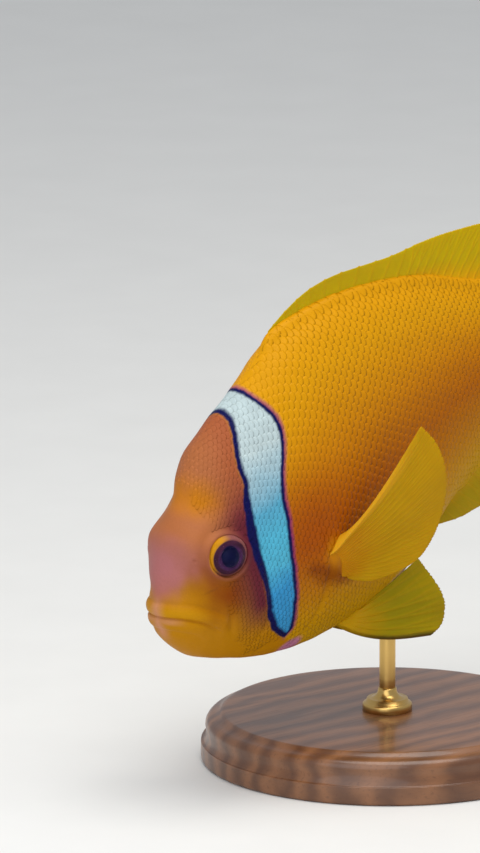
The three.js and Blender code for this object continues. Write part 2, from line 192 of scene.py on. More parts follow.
def from_path(x, z, path, samples=90):
    """How far points lie from a path of the side view, signed, and how far along it they are."""
    t = np.linspace(0, 1, samples)
    line = smooth_path(path, t)
    ahead = np.gradient(line, axis=0)
    nearest = np.argmin((x[..., None] - line[:, 0]) ** 2 + (z[..., None] - line[:, 1]) ** 2, -1)
    dx = x - line[nearest, 0]
    dz = z - line[nearest, 1]
    side = ahead[nearest, 0] * dz - ahead[nearest, 1] * dx
    return np.sign(side) * np.hypot(dx, dz), t[nearest]


def gaze(side):
    """The way an eye looks: side is 1 on the left and -1 on the right."""
    return np.array((-math.sin(EYE_TOE), side * math.cos(EYE_TOE), 0.0))


def from_gaze(places):
    """Distance of places from the line of sight of the eye on their own side."""
    x, y, z = np.moveaxis(places, -1, 0)
    out = np.stack((x, np.abs(y), z), -1) - EYE_AT
    along = out @ gaze(1)
    away = np.sqrt(np.maximum((out**2).sum(-1) - along**2, 0))
    far_off = 20.0
    return np.where(along > -1, away, far_off)


# ---- the flesh

def spread(count, peak, centre, width):
    """Places from 0 to 1, packed closer by a hump of this height, centre and width."""
    t = np.linspace(0, 1, 2001)
    crowd = 1 + peak * hump(t, centre, width)
    total = np.concatenate(((0,), np.cumsum((crowd[1:] + crowd[:-1]) / 2)))
    return np.interp(np.linspace(0, total[-1], count), total, t)


DOWN = spread(RING_POINTS // 2 + 1, 1.1, 0.41, 0.12)
TURNS = np.concatenate((0.5 * DOWN, 1 - 0.5 * DOWN[-2::-1]))


def ring_shapes(x):
    """Rings of the bare body at each x, packed closer at the eye's height: top, left, belly, right."""
    turn = np.linspace(np.pi / 2, -np.pi / 2, 361)
    rise = np.sin(turn)
    rings = np.empty((len(x), RING_POINTS, 3))
    girth = np.empty(len(x))
    for i, place in enumerate(x):
        back, belly, half = (station(c, place) for c in (BACK, BELLY, HALF))
        mid = belly + WIDEST_AT * (back - belly)
        y = half * np.abs(np.cos(turn)) ** SECTION_POWER
        z = mid + rise * np.where(rise > 0, back - mid, mid - belly)
        length = np.concatenate(((0,), np.cumsum(np.hypot(np.diff(y), np.diff(z)))))
        y, z = (np.interp(DOWN * length[-1], length, a) for a in (y, z))
        y[0] = y[-1] = 0
        rings[i, :, 0] = place
        rings[i, :, 1] = np.concatenate((y, -y[-2:0:-1]))
        rings[i, :, 2] = np.concatenate((z, z[-2:0:-1]))
        girth[i] = length[-1]
    return rings, girth


def outward(rings):
    """The outward normals of a closed loft of rings."""
    return unit(np.cross(np.gradient(rings, axis=0), np.roll(rings, -1, 1) - np.roll(rings, 1, 1)))


def relief(places, sizes):
    """How far the head's and body's features stand out of the bare body, in units."""
    x, y, z = np.moveaxis(places, -1, 0)
    side = np.abs(y)
    flank = blend_step(side, 0.4, 2.0)
    out = np.full(x.shape, -COAT_DEPTH)
    for height, at_x, reach_x, at_z, reach_z, on_flank in MOUNDS:
        out += height * hump(x, at_x, reach_x) * hump(z, at_z, reach_z) * (flank if on_flank else 1)

    apart, along = from_path(x, z, CLEFT)
    for share, thick, fade in ((1.0, UPPER_LIP, (1.0, 0.72)), (0.8, -LOWER_LIP, (0.98, 0.6))):
        swelling = np.sin(np.pi * np.clip(apart / thick, 0, 1)) ** 0.75
        out += share * sizes.lip_depth * swelling * blend_step(along, *fade)
    for depth, at, width, fade in MOUTH_GROOVES:
        out -= depth * hump(apart, at, width) * blend_step(along, 1.0, fade)

    away = from_gaze(places)
    out += sizes.orbit_rim * hump(away, ORBIT_CREST, np.where(away > ORBIT_CREST, 0.6, 0.34))
    socket_depth = 2.3
    out -= socket_depth * blend_step(away, 3.44, 3.0)
    out += 0.15 * hump(away, 6.3, 1.3) * (z > EYE_AT[2] - 4) - 0.1 * hump(away, 4.9, 0.5)

    gap = np.hypot(x - NOSTRIL[0], z - NOSTRIL[1])
    out += 0.08 * hump(gap, NOSTRIL_SIZE, 0.5 * NOSTRIL_SIZE) - 0.25 * hump(gap, 0, 0.6 * NOSTRIL_SIZE)

    apart, along = from_path(x, z, CHEEK_EDGE)
    ends = window(along, 0, 0.15, 0.85, 1) * flank
    out += (0.16 * window(-apart, 0.2, 0.9, 1.2, 5) - 0.26 * hump(apart, 0, 0.5)) * ends

    apart, along = from_path(x, z, GILL_EDGE)
    ends = window(along, 0.2, 0.55, 0.78, 0.98) * flank
    out += sizes.gill_lift * window(apart, -4.5, -0.1, -0.1, 0.55) * ends
    out -= (0.2 * hump(apart, 0.6, 0.6) + 0.12 * window(apart, 0.3, 0.8, 0.9, 3)) * ends

    throat = window(x, 9, 12, 21, 25) * blend_step(z, -14.5, -17)
    folds = (0.5 + 0.5 * np.cos(2 * np.pi * (side - 0.25 * (x - 12)) / 1.7)) ** 3
    out -= 0.07 * throat * folds + 0.22 * hump(side, 0, 0.6) * window(x, 9, 11, 24, 27) * (z < -10)
    out += 0.3 * blend_step(z - station(BELLY, x), 3.5, 0.5) * window(x, 1, 4, 33, 39)

    ridge = hump(side, 0, 0.95)
    out += 1.3 * ridge * window(x, 35, 39, 86, 90) * (z > 0)
    out += 1.1 * ridge * window(x, 64, 67, 86, 90) * (z < 0)
    return out + 0.05 * np.sin(0.9 * x + 0.5 * z) * np.sin(0.7 * z - 0.3 * x) * blend_step(x, 3, 8)


class Flesh:
    """The one skin of the fish, as rings that scales and markings can be placed on."""

    def __init__(self, sizes):
        self.root = 10 * spread(RINGS, 1.7, 0.345, 0.075)
        self.unwrap = np.linspace(0.002, 0.998, NOSE_RINGS + RINGS + STEM_RINGS)
        bare, self.girth = ring_shapes(self.root**2)
        self.rings = bare + relief(bare, sizes)[..., None] * outward(bare)
        self.normals = outward(self.rings)

    def at(self, grid, x, turn):
        """Values of a grid at x and at turn, the fraction of the way round from the top."""
        row = np.interp(np.sqrt(np.maximum(x, 0)), self.root, np.arange(RINGS))
        row = np.minimum(row, RINGS - 1.001)
        column = np.interp(turn % 1.0, TURNS, np.arange(RING_POINTS + 1))
        i, k = row.astype(int), column.astype(int) % RING_POINTS
        a, b = (row - i)[..., None], (column - column.astype(int))[..., None]
        far = (k + 1) % RING_POINTS
        return ((grid[i, k] * (1 - b) + grid[i, far] * b) * (1 - a)
                + (grid[i + 1, k] * (1 - b) + grid[i + 1, far] * b) * a)


def fields(places):
    """What the markings read at each place: the place, the bar and the mouth and orbit."""
    x, _, z = np.moveaxis(places, -1, 0)
    front, rear = (np.interp(z, BAR[:, 0], BAR[:, edge]) for edge in (1, 2))
    below = np.maximum(BAR[0, 0] - z, 0)
    back, belly = station(BACK, x), station(BELLY, x)
    apart = np.full(x.shape, 9.0)
    along = np.ones(x.shape)
    near = x < 16
    apart[near], along[near] = from_path(x[near], z[near], CLEFT)
    return {
        "fish": places,
        "mark": np.stack((x - front - below, rear - x - below, (z - belly) / (back - belly)), -1),
        "face": np.stack((apart, along, from_gaze(places)), -1),
    }


# ---- meshes

def make_piece(name, points, faces, material, smooth=True, values=None, unwrap=None, posed=False):
    """A mesh from points, arrays of faces, per-point values and a corner unwrap; rides on root."""
    mesh = bpy.data.meshes.new(name)
    corners = np.concatenate([f.ravel() for f in faces])
    sizes = np.concatenate([np.full(len(f), f.shape[1]) for f in faces])

    def store(items, key, data, kind=np.float32):
        items.foreach_set(key, np.ascontiguousarray(data, kind).ravel())

    mesh.vertices.add(len(points))
    store(mesh.vertices, "co", points if posed else pose(points))
    mesh.loops.add(len(corners))
    store(mesh.loops, "vertex_index", corners, np.int32)
    mesh.polygons.add(len(sizes))
    store(mesh.polygons, "loop_start", np.cumsum(sizes) - sizes, np.int32)
    store(mesh.polygons, "use_smooth", np.broadcast_to(smooth, len(sizes)), bool)
    for key, value in (values or {}).items():
        store(mesh.attributes.new(key, "FLOAT_VECTOR", "POINT").data, "vector", value)
    if unwrap is not None:
        store(mesh.uv_layers.new(name="OFBake").data, "uv", unwrap)
    mesh.update(calc_edges=True)
    mesh.validate()
    mesh.materials.append(material)
    piece = bpy.data.objects.new(name, mesh)
    bpy.context.scene.collection.objects.link(piece)
    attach(piece, "root")
    return piece


def strip(first, second):
    """Quads between two closed rings of point numbers."""
    return np.stack((first, second, np.roll(second, -1), np.roll(first, -1)), -1)


def fan(ring, tip, flip=False):
    """Triangles from a closed ring of point numbers to its tip."""
    tris = np.stack((ring, np.roll(ring, -1), np.full(len(ring), tip)), -1)
    return tris[:, ::-1] if flip else tris


def tube(rows, columns):
    """Quads of a grid of points whose last column joins the first."""
    ring = np.arange(columns)
    return np.concatenate([strip(ring + i * columns, ring + (i + 1) * columns) for i in range(rows - 1)])


def capped(rows, columns):
    """Faces of a tube of points with a tip at each end, the tips being its last two points."""
    ring = np.arange(columns)
    return [tube(rows, columns), fan(ring, rows * columns),
            fan(ring + (rows - 1) * columns, rows * columns + 1, True)]


def lathe(profile, segments, centre=(0, 0, 0), axis=(0, 0, 1)):
    """A turned piece of (radius, height) rows: its points, faces, and radius, angle and height."""
    radius, height = np.array(profile, float).T
    centre, axis = np.array(centre, float), np.array(axis, float)
    across = np.cross(axis, (0, 0, 1)) if abs(axis[2]) < 0.9 else np.array((1.0, 0, 0))
    across /= np.linalg.norm(across)
    turn = np.arange(segments) * 2 * np.pi / segments
    spoke = np.cos(turn)[:, None] * across + np.sin(turn)[:, None] * np.cross(axis, across)
    rows = centre + radius[:, None, None] * spoke + height[:, None, None] * axis
    tips = centre + height[[0, -1], None] * axis
    points = np.vstack((rows.reshape(-1, 3), tips))
    measures = (np.append(np.repeat(radius, segments), (0, 0)),
                np.append(np.tile(turn, len(radius)), (0, 0)),
                np.append(np.repeat(height, segments), (height[0], height[-1])))
    return points, capped(len(radius), segments), measures


# ---- paint

class Wire:
    """A socket that can be reckoned with: an expression on it adds Math nodes."""

    def __init__(self, paint, socket):
        self.paint = paint
        self.socket = socket

    def reckon(self, operation, *others):
        return self.paint.node("ShaderNodeMath", {"operation": operation}, (self, *others))

    def __add__(self, other):
        return self.reckon("ADD", other)

    def __sub__(self, other):
        return self.reckon("SUBTRACT", other)

    def __rsub__(self, other):
        return self.paint.node("ShaderNodeMath", {"operation": "SUBTRACT"}, (other, self))

    def __mul__(self, other):
        return self.reckon("MULTIPLY", other)

    def __truediv__(self, other):
        return self.reckon("DIVIDE", other)

    def __abs__(self):
        return self.reckon("ABSOLUTE")

    __radd__ = __add__
    __rmul__ = __mul__

    def least(self, other):
        return self.reckon("MINIMUM", other)

    def most(self, other):
        return self.reckon("MAXIMUM", other)


class Paint:
    """One material and the nodes that colour it."""

    def __init__(self, name, **settings):
        self.material = bpy.data.materials.new(name)
        self.material.use_nodes = True
        self.tree = self.material.node_tree
        self.shader = self.tree.nodes["Principled BSDF"]
        for key, value in settings.items():
            self.shader.inputs[key.replace("_", " ")].default_value = value

    def node(self, kind, settings=None, inputs=(), output=0):
        """Adds a node: its settings first, then each socket's value or link."""
        node = self.tree.nodes.new(kind)
        for key, value in (settings or {}).items():
            if key == "stops":
                self.set_stops(node.color_ramp, value)
            else:
                setattr(node, key, value)
        for key, value in inputs.items() if isinstance(inputs, dict) else enumerate(inputs):
            self.feed(node.inputs[key], value)
        return Wire(self, node.outputs[output])

    def feed(self, socket, value):
        """Links a wire to a socket, or sets the socket to a number, vector or colour."""
        if isinstance(value, Wire):
            self.tree.links.new(value.socket, socket)
        elif socket.type == "RGBA":
            socket.default_value = (*value, 1)
        else:
            socket.default_value = value

    @staticmethod
    def set_stops(ramp, stops):
        while len(ramp.elements) > 1:
            ramp.elements.remove(ramp.elements[0])
        for i, (place, colour) in enumerate(stops):
            stop = ramp.elements[0] if i == 0 else ramp.elements.new(place)
            stop.position = place
            stop.color = (*colour, 1)

    def value(self, name):
        """A stored vector of the mesh."""
        return self.node("ShaderNodeAttribute", {"attribute_name": name}, output=1)

    def place(self):
        """The piece's own coordinates, in metres."""
        return self.node("ShaderNodeTexCoord", output=3)

    def split(self, vector):
        node = self.node("ShaderNodeSeparateXYZ", None, (vector,)).socket.node
        return tuple(Wire(self, socket) for socket in node.outputs)

    def join(self, x, y, z):
        return self.node("ShaderNodeCombineXYZ", None, (x, y, z))

    def vector(self, operation, *values):
        return self.node("ShaderNodeVectorMath", {"operation": operation}, values)

    def measure(self, operation, *values):
        """The number that an operation on vectors gives."""
        return self.node("ShaderNodeVectorMath", {"operation": operation}, values, 1)

    def stretch(self, vector, factors):
        return self.vector("MULTIPLY", vector, factors)

    def scaled(self, colour, amount):
        return self.node("ShaderNodeVectorMath", {"operation": "SCALE"}, {0: colour, "Scale": amount})

    def step(self, value, low, high):
        """0 at low and 1 at high, smooth between; low may be the higher one."""
        if low > high:
            return 1 - self.step(value, high, low)
        return self.node("ShaderNodeMapRange", {"interpolation_type": "SMOOTHSTEP"},
                         {"Value": value, "From Min": low, "From Max": high})

    def noise(self, vector, scale, detail=2.0, rough=0.5, output=0):
        return self.node("ShaderNodeTexNoise", None,
                         {"Vector": vector, "Scale": scale, "Detail": detail, "Roughness": rough}, output)

    def mix(self, factor, low, high):
        return self.node("ShaderNodeMix", {"data_type": "RGBA"}, {0: factor, 6: low, 7: high}, 2)

    def ramp(self, value, stops):
        return self.node("ShaderNodeValToRGB", {"stops": stops}, (value,))

    def blob(self, place, centre, reach):
        """1 at centre of the side view and 0 beyond reach, softly."""
        offset = self.vector("SUBTRACT", place, (centre[0], 0, centre[1]))
        size = self.measure("LENGTH", self.stretch(offset, (1 / reach[0], 0, 1 / reach[1])))
        return self.step(size, 1.0, 0.0)

    def stripe(self, place, start, end, reach):
        """1 along a line of the side view and 0 beyond reach of it, softly."""
        line = (end[0] - start[0], 0, end[1] - start[1])
        offset = self.stretch(self.vector("SUBTRACT", place, (start[0], 0, start[1])), (1, 0, 1))
        share = self.measure("DOT_PRODUCT", offset, line) / (line[0] ** 2 + line[2] ** 2)
        gap = self.measure("DISTANCE", offset, self.scaled(line, share.most(0).least(1)))
        return self.step(gap, reach, 0.0)

    def spots(self, colour, place, spots):
        """Soft patches over a colour, each with its centre, reach, strength and tint."""
        for centre, reach, strength, tint in spots:
            colour = self.mix(self.blob(place, centre, reach) * strength, colour, tint)
        return colour

    def finish(self, colour, rough, height=None, distance=1e-4, strength=1.0):
        """Feeds the shader what varies over the surface, and returns the material."""
        self.feed(self.shader.inputs["Base Color"], colour)
        self.feed(self.shader.inputs["Roughness"], rough)
        if height is not None:
            bump = self.node("ShaderNodeBump", None,
                             {"Strength": strength, "Distance": distance, "Height": height})
            self.feed(self.shader.inputs["Normal"], bump)
        return self.material


def round_eye(paint, place):
    """Where a place lies round the left or right eye: 1 at the front and top of the rim, -1 opposite."""
    offset = paint.vector("SUBTRACT", place, (EYE_AT[0], 0, EYE_AT[2]))
    return paint.measure("DOT_PRODUCT", offset, (-0.82 / ORBIT_CREST, 0, 0.57 / ORBIT_CREST))


def head_and_body(paint, colours, place, ahead, rise):
    """The broad colours, softened by a slow wander of the places."""
    wander = paint.vector("SUBTRACT", paint.noise(place, 0.22, output=1), (0.5, 0.5, 0.5))
    soft = paint.vector("ADD", place, paint.stretch(wander, (3.0, 3.0, 3.0)))
    x, _, z = paint.split(soft)
    # from belly to back: partly the fish's own tones and partly painted light, with the back lightened for
    # light from above and the belly lightened for light from below
    body = paint.ramp(rise, (
        (0.0, colours.belly), (0.2, colours.low_flank), (0.45, colours.flank),
        (0.62, colours.high_flank), (0.86, colours.back), (1.0, colours.back)))
    body = paint.spots(body, soft, (
        ((66, 3), (26, 13), 0.5, colours.rear_flank), ((29, 0), (17, 16), 0.9, colours.shoulder)))
    # painted shadow: a soft dark band below the pectoral fin's root
    body = paint.mix(paint.stripe(soft, (26.7, -6.8), (35.2, -12.4), 2.6) * 0.7, body, colours.painted_shadow_under_fin)
    body = paint.spots(body, soft, (((31.6, -5.8), (3.6, 4.2), 0.9, colours.fin_root),))

    # the face colour's mauve tint is partly a painted reflection of bluish light; the snout patch is a
    # painted pink reflection
    face = paint.spots(colours.face, soft, (((2.6, 6.6), (6.6, 9.8), 0.95, colours.snout),))
    jaw_line = z - x.least(8.0) * 0.5
    face = paint.mix(paint.step(jaw_line, 2.0, -1.6), face, colours.jaw)
    face = paint.spots(face, soft, (
        ((13.0, 14.0), (5.0, 4.6), 0.95, colours.brow),
        ((8.0, 3.6), (4.4, 5.8), 0.85, colours.before_eye),
        ((10.2, -1.4), (8.4, 7.6), 0.95, colours.under_eye)))
    temple = paint.step(ahead, -6.5, -0.5) * paint.step(z, 2.0, 9.0)
    face = paint.mix(temple * 0.5, face, colours.temple)
    wine = paint.step(ahead, -7.0, -1.0) * paint.step(z, -13.5, -6.0) * paint.step(z, 17.0, 8.0)
    face = paint.mix(wine, face, colours.cheek)
    return paint.mix(paint.step(ahead, 0.5, -0.5), body, face), z


def mouth_and_orbit(paint, colours, colour, place, ahead):
    """The lips, the pale tip of the mouth and the rim of the eye, over a colour."""
    x, y, z = paint.split(place)
    apart, along, away = paint.split(paint.value("face"))
    upper = paint.step(apart, 0.0, 0.6) * paint.step(apart, 2.6, 0.9) * paint.step(along, 0.8, 0.35)
    lower = paint.step(apart, 0.0, -0.4) * paint.step(apart, -3.2, -1.8) * paint.step(along, 0.97, 0.5)
    colour = paint.mix(upper * 0.95, colour, colours.lips)
    colour = paint.mix(lower * 0.15, colour, colours.lips)
    off_middle = abs(y)
    tip = paint.step(x, 2.4, 0.0) * paint.step(off_middle, 2.3, -0.4)
    tip = tip * paint.step(abs(z + 2.2), 5.0, 2.2)
    streak = paint.step(x, 3.2, 1.2) * paint.step(off_middle, 5.2, 2.4)
    streak = streak * paint.step(abs(apart + 0.5), 0.9, 0.1)
    colour = paint.mix(tip.most(streak * 0.6) * 0.85, colour, colours.lip_tip)
    slit = paint.step(abs(apart), 0.3, 0.08) * paint.step(along, 0.95, 0.6)
    colour = paint.mix(slit * 0.2, colour, colours.slit)

    ring = paint.step(away, 3.0, 3.2) * paint.step(away, 4.3, 3.5)
    colour = paint.mix(ring * paint.step(ahead, -1.2, -3.4) * 0.3, colour, colours.orbit)
    crescent = paint.step(away, 3.85, 3.55) * paint.step(round_eye(paint, place), 0.5, 0.95)
    return paint.mix(crescent * 0.9, colour, colours.eye_gold)


def markings_and_painted_light(paint, colours):
    """The fish's markings, with some painted light, shade and reflection, at each point of skin or scale:
    its colour, and how much bar there is.
    """
    place = paint.value("fish")
    ahead, behind, rise = paint.split(paint.value("mark"))
    colour, z = head_and_body(paint, colours, place, ahead, rise)
    colour = mouth_and_orbit(paint, colours, colour, place, ahead)

    jitter = (paint.noise(place, 0.9, 3.0) - 0.5) * 0.5
    front_in, rear_in = ahead + jitter, behind + jitter
    glow = paint.step(front_in.least(rear_in), -1.0, -0.1) * paint.step(rear_in - front_in, 3.0, -3.0)
    colour = paint.mix(glow * 0.7, colour, colours.bar_glow)
    heavy = paint.step(z, -3.0, 1.0) * paint.step(z, 14.0, 11.0) * 0.45
    edge = paint.step((front_in + heavy).least(rear_in), -0.3, 0.15)
    colour = paint.mix(edge, colour, colours.bar_edge)
    thin = paint.step(z, 5.0, 15.0) * 0.35
    core = paint.step(front_in + thin, 0.85, 1.65) * paint.step(rear_in, 0.35, 0.95)
    bar = paint.ramp(paint.step(z, -17.0, 25.0), (
        (0.0, colours.bar_low), (0.18, colours.bar_low), (0.32, colours.bar_middle),
        (0.48, colours.bar_middle), (0.64, colours.bar_high), (0.92, colours.bar_top),
        (1.0, colours.bar_top)))
    clouds = paint.noise(place, 0.55, 4.0, 0.6)
    colour = paint.mix(core, colour, paint.scaled(bar, 0.8 + clouds * 0.4))
    lilac = paint.step(paint.blob(place, (21.6, -19.5), (3.8, 2.7)), 0.1, 0.65)
    return paint.mix(lilac * 0.85, colour, colours.lilac), core


# ---- what a user may change

def srgb(seen):
    """A colour named as it is seen, 0 to 255, as the shader needs it."""
    return tuple((c / 255 / 12.92) if c <= 10 else ((c / 255 + 0.055) / 1.055) ** 2.4 for c in seen)


def hue(name, description, *seen):
    return FloatVectorProperty(name=name, description=description, subtype="COLOR", size=3,
                               min=0, max=1, default=srgb(seen))


def amount(name, description, default, low=0.0, **kind):
    return FloatProperty(name=name, description=description, default=default, min=low, **kind)


def length(name, description, default, low):
    return amount(name, description, default, low, subtype="DISTANCE", unit="LENGTH")


def power(name, description, default):
    return amount(name, description, default, subtype="POWER", unit="POWER")


class FishColours(bpy.types.PropertyGroup):
    """The colours of the skin, scales, fins and eyes, a few of them painted light, shade and reflection."""

    # lightened partly as painted light from above
    back: hue("Back", "Golden back below the dorsal fin", 204, 142, 6)
    high_flank: hue("Upper flank", "Between the back and the middle of the side", 192, 118, 3)
    flank: hue("Flank", "Middle of the side", 176, 94, 2)
    low_flank: hue("Lower flank", "Between the side and the belly", 188, 128, 4)
    # lightened partly as painted light from below
    belly: hue("Belly", "Underside of the trunk", 198, 150, 6)
    shoulder: hue("Shoulder", "Redder skin behind the bar", 158, 72, 2)
    # painted shadow below the pectoral fin's root
    painted_shadow_under_fin: hue("Under the pectoral fin", "Soft dark band below the fin's root", 120, 50, 4)
    fin_root: hue("Pectoral lobe", "Lighter lobe that the pectoral fin grows from", 186, 120, 4)
    rear_flank: hue("Rear flank", "Duller patch ahead of the tail stem", 162, 93, 3)
    # salmon skin whose mauve tint is partly a painted reflection of bluish light
    face: hue("Face", "Salmon of the forehead and temples", 166, 99, 58)
    # painted pink reflection down the front of the face
    snout: hue("Snout", "Rose bloom down the front of the face", 170, 104, 108)
    temple: hue("Temple", "Redder skin ahead of the upper bar", 150, 66, 40)
    brow: hue("Brow", "Orange patch above the eye", 190, 115, 8)
    cheek: hue("Cheek", "Wine-dark skin behind and below the eye", 98, 34, 46)
    before_eye: hue("Before the eye", "Brown skin between the eye and the snout", 136, 70, 44)
    under_eye: hue("Under the eye", "Brown patch below the eye", 128, 56, 2)
    jaw: hue("Jaws", "Golden brown of the lower head", 178, 118, 3)
    lips: hue("Lips", "Yellow band of the upper lip", 190, 132, 5)
    lip_tip: hue("Tip of the lips", "Pale skin at the front of the mouth", 196, 134, 104)
    slit: hue("Slit", "Shadow between the lips", 150, 88, 14)
    orbit: hue("Rim of the eye", "Thin skin round the eye", 146, 86, 80)
    eye_gold: hue("Gold of the eye", "Crescent at the front of the eye", 194, 132, 16)
    bar_top: hue("Bar, top", "Bar over the nape", 176, 192, 194)
    bar_high: hue("Bar, upper part", "Bar above the eye", 82, 158, 188)
    bar_middle: hue("Bar, middle", "Bar behind the eye", 80, 174, 204)
    bar_low: hue("Bar, bottom", "Bar on the gill cover", 54, 144, 198)
    bar_edge: hue("Bar edge", "Navy line along the bar", 10, 14, 72)
    bar_glow: hue("Bar glow", "Violet fringe outside the line", 132, 26, 110)
    lilac: hue("Gill edge", "Lilac skin below the bar", 184, 116, 158)
    dorsal_gold: hue("Dorsal fin", "Olive gold of the dorsal and tail fins", 182, 156, 4)
    pectoral_gold: hue("Pectoral fins", "Gold of the pectoral fins", 176, 134, 4)
    pelvic_olive: hue("Pelvic fins", "Olive of the pelvic fins", 148, 132, 5)
    anal_olive: hue("Anal fin", "Yellow green of the anal fin", 160, 136, 4)
    fin_ray: hue("Fin rays", "Rays seen in the fins", 196, 144, 8)
    lead_ray: hue("Leading ray", "Thick upper ray of the pectoral fins", 206, 150, 24)
    fin_shade: hue("Fin shade", "Dark edge of the pelvic fins", 58, 46, 14)
    iris: hue("Iris", "Dark wine of the iris", 62, 28, 48)
    iris_light: hue("Iris light", "Purple arc round the pupil", 74, 40, 80)
    pupil: hue("Pupil", "Blue-black of the pupil", 7, 11, 50)


class FishSizes(bpy.types.PropertyGroup):
    """Relief of the fish, in hundredths of its standard length."""

    lip_depth: amount("Lips", "How far the lips swell", 0.3, max=1)
    orbit_rim: amount("Rim of the eye", "How far the skin rises round the eye", 0.42, max=1)
    gill_lift: amount("Gill cover", "How far its free edge stands off", 0.22, max=1)
    scale_lift: amount("Scale edges", "How far a scale's free edge stands off", 0.025, 0.02, max=0.5)
    scale_seed: IntProperty(name="Scale seed", description="Start of the scales' small differences",
                            default=7, min=0)


class StandLooks(bpy.types.PropertyGroup):
    """The display stand's finish."""

    wood: hue("Wood", "Lighter grain of the base", 132, 86, 52)
    wood_dark: hue("Dark grain", "Darker grain of the base", 78, 44, 24)
    brass: hue("Brass", "Collar and rod", 214, 176, 104)
    base_radius: length("Base radius", "Radius of the base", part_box("stand_base")[1][0], 0.01)


class StageLooks(bpy.types.PropertyGroup):
    """The floor, lights and camera."""

    floor: hue("Floor", "Pale floor", 226, 226, 224)
    sky: hue("Surround", "Colour of the soft light all round", 236, 240, 246)
    sky_strength: amount("Surround strength", "Soft light all round", 0.55)
    key_power: power("Key light", "Power of the large light above", 2.4)
    fill_power: power("Fill light", "Power of the light beside the camera", 1.3)
    camera_distance: length("Camera distance", "From the fish to the camera", 2.0, 0.5)


class ClownfishModel(bpy.types.PropertyGroup):
    """Everything that can be changed about the model."""

    colours: PointerProperty(type=FishColours, name="Colours", description="Colours of the fish")
    sizes: PointerProperty(type=FishSizes, name="Relief", description="Relief of the fish")
    stand: PointerProperty(type=StandLooks, name="Stand", description="Finish of the stand")
    stage: PointerProperty(type=StageLooks, name="Stage", description="Floor, lights and camera")


# ---- skin and scales

def skin_paint(colours):
    """Bare skin: the markings, with fine grain and a soft wet gloss."""
    paint = Paint("fish_skin", Coat_Weight=0.01, Coat_Roughness=0.25, Specular_IOR_Level=0.07)
    colour, core = markings_and_painted_light(paint, colours)
    grain = paint.noise(paint.value("fish"), 3.2, 4.0, 0.6)
    colour = paint.scaled(colour, 0.9 + grain * 0.2)
    return paint.finish(colour, 0.36 + grain * 0.16 + core * 0.06, grain, 6e-5, 0.5)


def scale_paint(colours):
    """Scales: the markings, each plate a little different, with its free edge lightened as painted light
    against the shade there.
    """
    paint = Paint("fish_scales", Coat_Weight=0.01, Coat_Roughness=0.25, Specular_IOR_Level=0.07)
    colour, _ = markings_and_painted_light(paint, colours)
    back, across, tint = paint.split(paint.value("plate"))
    radial = (across * 26.0).reckon("SINE")
    rim = paint.step(back, 0.55, 0.98)
    grain = paint.noise(paint.value("fish"), 4.0, 3.0, 0.6)
    # the free edge is lightened: painted light that offsets the shade at the scale's edge
    colour = paint.scaled(colour, 0.97 + tint * 0.04 + rim * 0.05)
    colour = paint.scaled(colour, 0.94 + grain * 0.12)
    height = radial * 0.12 * paint.step(back, -0.4, 0.6) + grain * 0.5
    return paint.finish(colour, 0.38 + grain * 0.12 + tint * 0.05, height, 4e-5, 0.3)


def make_skin(model):
    """One skin over head, jaws, gill covers, trunk and tail stem, closed at both ends."""
    flesh = Flesh(model.sizes)
    first, last = flesh.rings[0], flesh.rings[-1]
    middle = first.mean(0)
    nose = [middle + (first - middle) * math.sin(a) - (0.04 * math.cos(a), 0, 0)
            for a in np.linspace(0.05, 1.2, NOSE_RINGS)]
    stem_end = [last * (1, math.cos(a), 1 - 0.05 * math.sin(a)) + (1.3 * math.sin(a), 0, 0)
                for a in np.linspace(0.3, 1.5, STEM_RINGS)]
    rows = np.concatenate((nose, flesh.rings, stem_end))
    points = np.vstack((rows.reshape(-1, 3), rows[0].mean(0), rows[-1].mean(0)))
    faces = capped(len(rows), RING_POINTS)

    along = np.repeat(flesh.unwrap, RING_POINTS)
    round_it = np.tile(TURNS[:-1], len(rows))
    wall = np.stack((along, round_it), -1)[faces[0]]
    column = faces[0] % RING_POINTS
    seam = (column == 0) & (column == RING_POINTS - 1).any(1)[:, None]
    wall[..., 1][seam] = 1.0
    corner = np.stack((TURNS[:-1], TURNS[1:], (TURNS[:-1] + TURNS[1:]) / 2), -1)
    front, rear = (np.stack(np.broadcast_arrays((edge, edge, tip), corner), -1)
                   for edge, tip in ((flesh.unwrap[0], 0.0), (flesh.unwrap[-1], 1.0)))
    unwrap = np.concatenate([part.reshape(-1, 2) for part in (wall, front, rear[:, ::-1])])
    skin = make_piece("skin", points, faces, skin_paint(model.colours),
                      values=fields(points), unwrap=unwrap)
    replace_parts(skin, "head", "upper_jaw", "lower_jaw", "gill_cover_left", "gill_cover_right",
                "trunk", "tail_stem")
    return flesh


# x, and there how far apart the rows of scales lie and how far it is to the next column
SCALE_PITCH = np.array((
    (6, 0.8, 0.62), (12, 0.92, 0.68), (20, 1.15, 0.76), (28, 1.45, 0.86), (34, 1.66, 0.91),
    (45, 1.74, 0.94), (60, 1.6, 0.88), (80, 1.28, 0.74), (100, 1.02, 0.64)))
# x, and the relief of a scale there against that of one on the trunk
SCALE_RELIEF = np.array(((8, 0.3), (15, 0.42), (22, 0.65), (32, 1.0)))
SCALES_FROM, SCALES_TO = 8.0, 101.2
HEAD_SCALES_TO, FRONT_SCALES_TO = 29, 46
BARE_ROUND_EYE = 4.6
ROW_ZERO_AT = 0.46
PLATE_POINTS = 14
PLATE_LENGTH = 1.06
PLATE_BREADTH = 0.31
PLATE_THICK = 0.05
LATERAL_ROW = -7
UNWRAP_PATCH = 0.0015


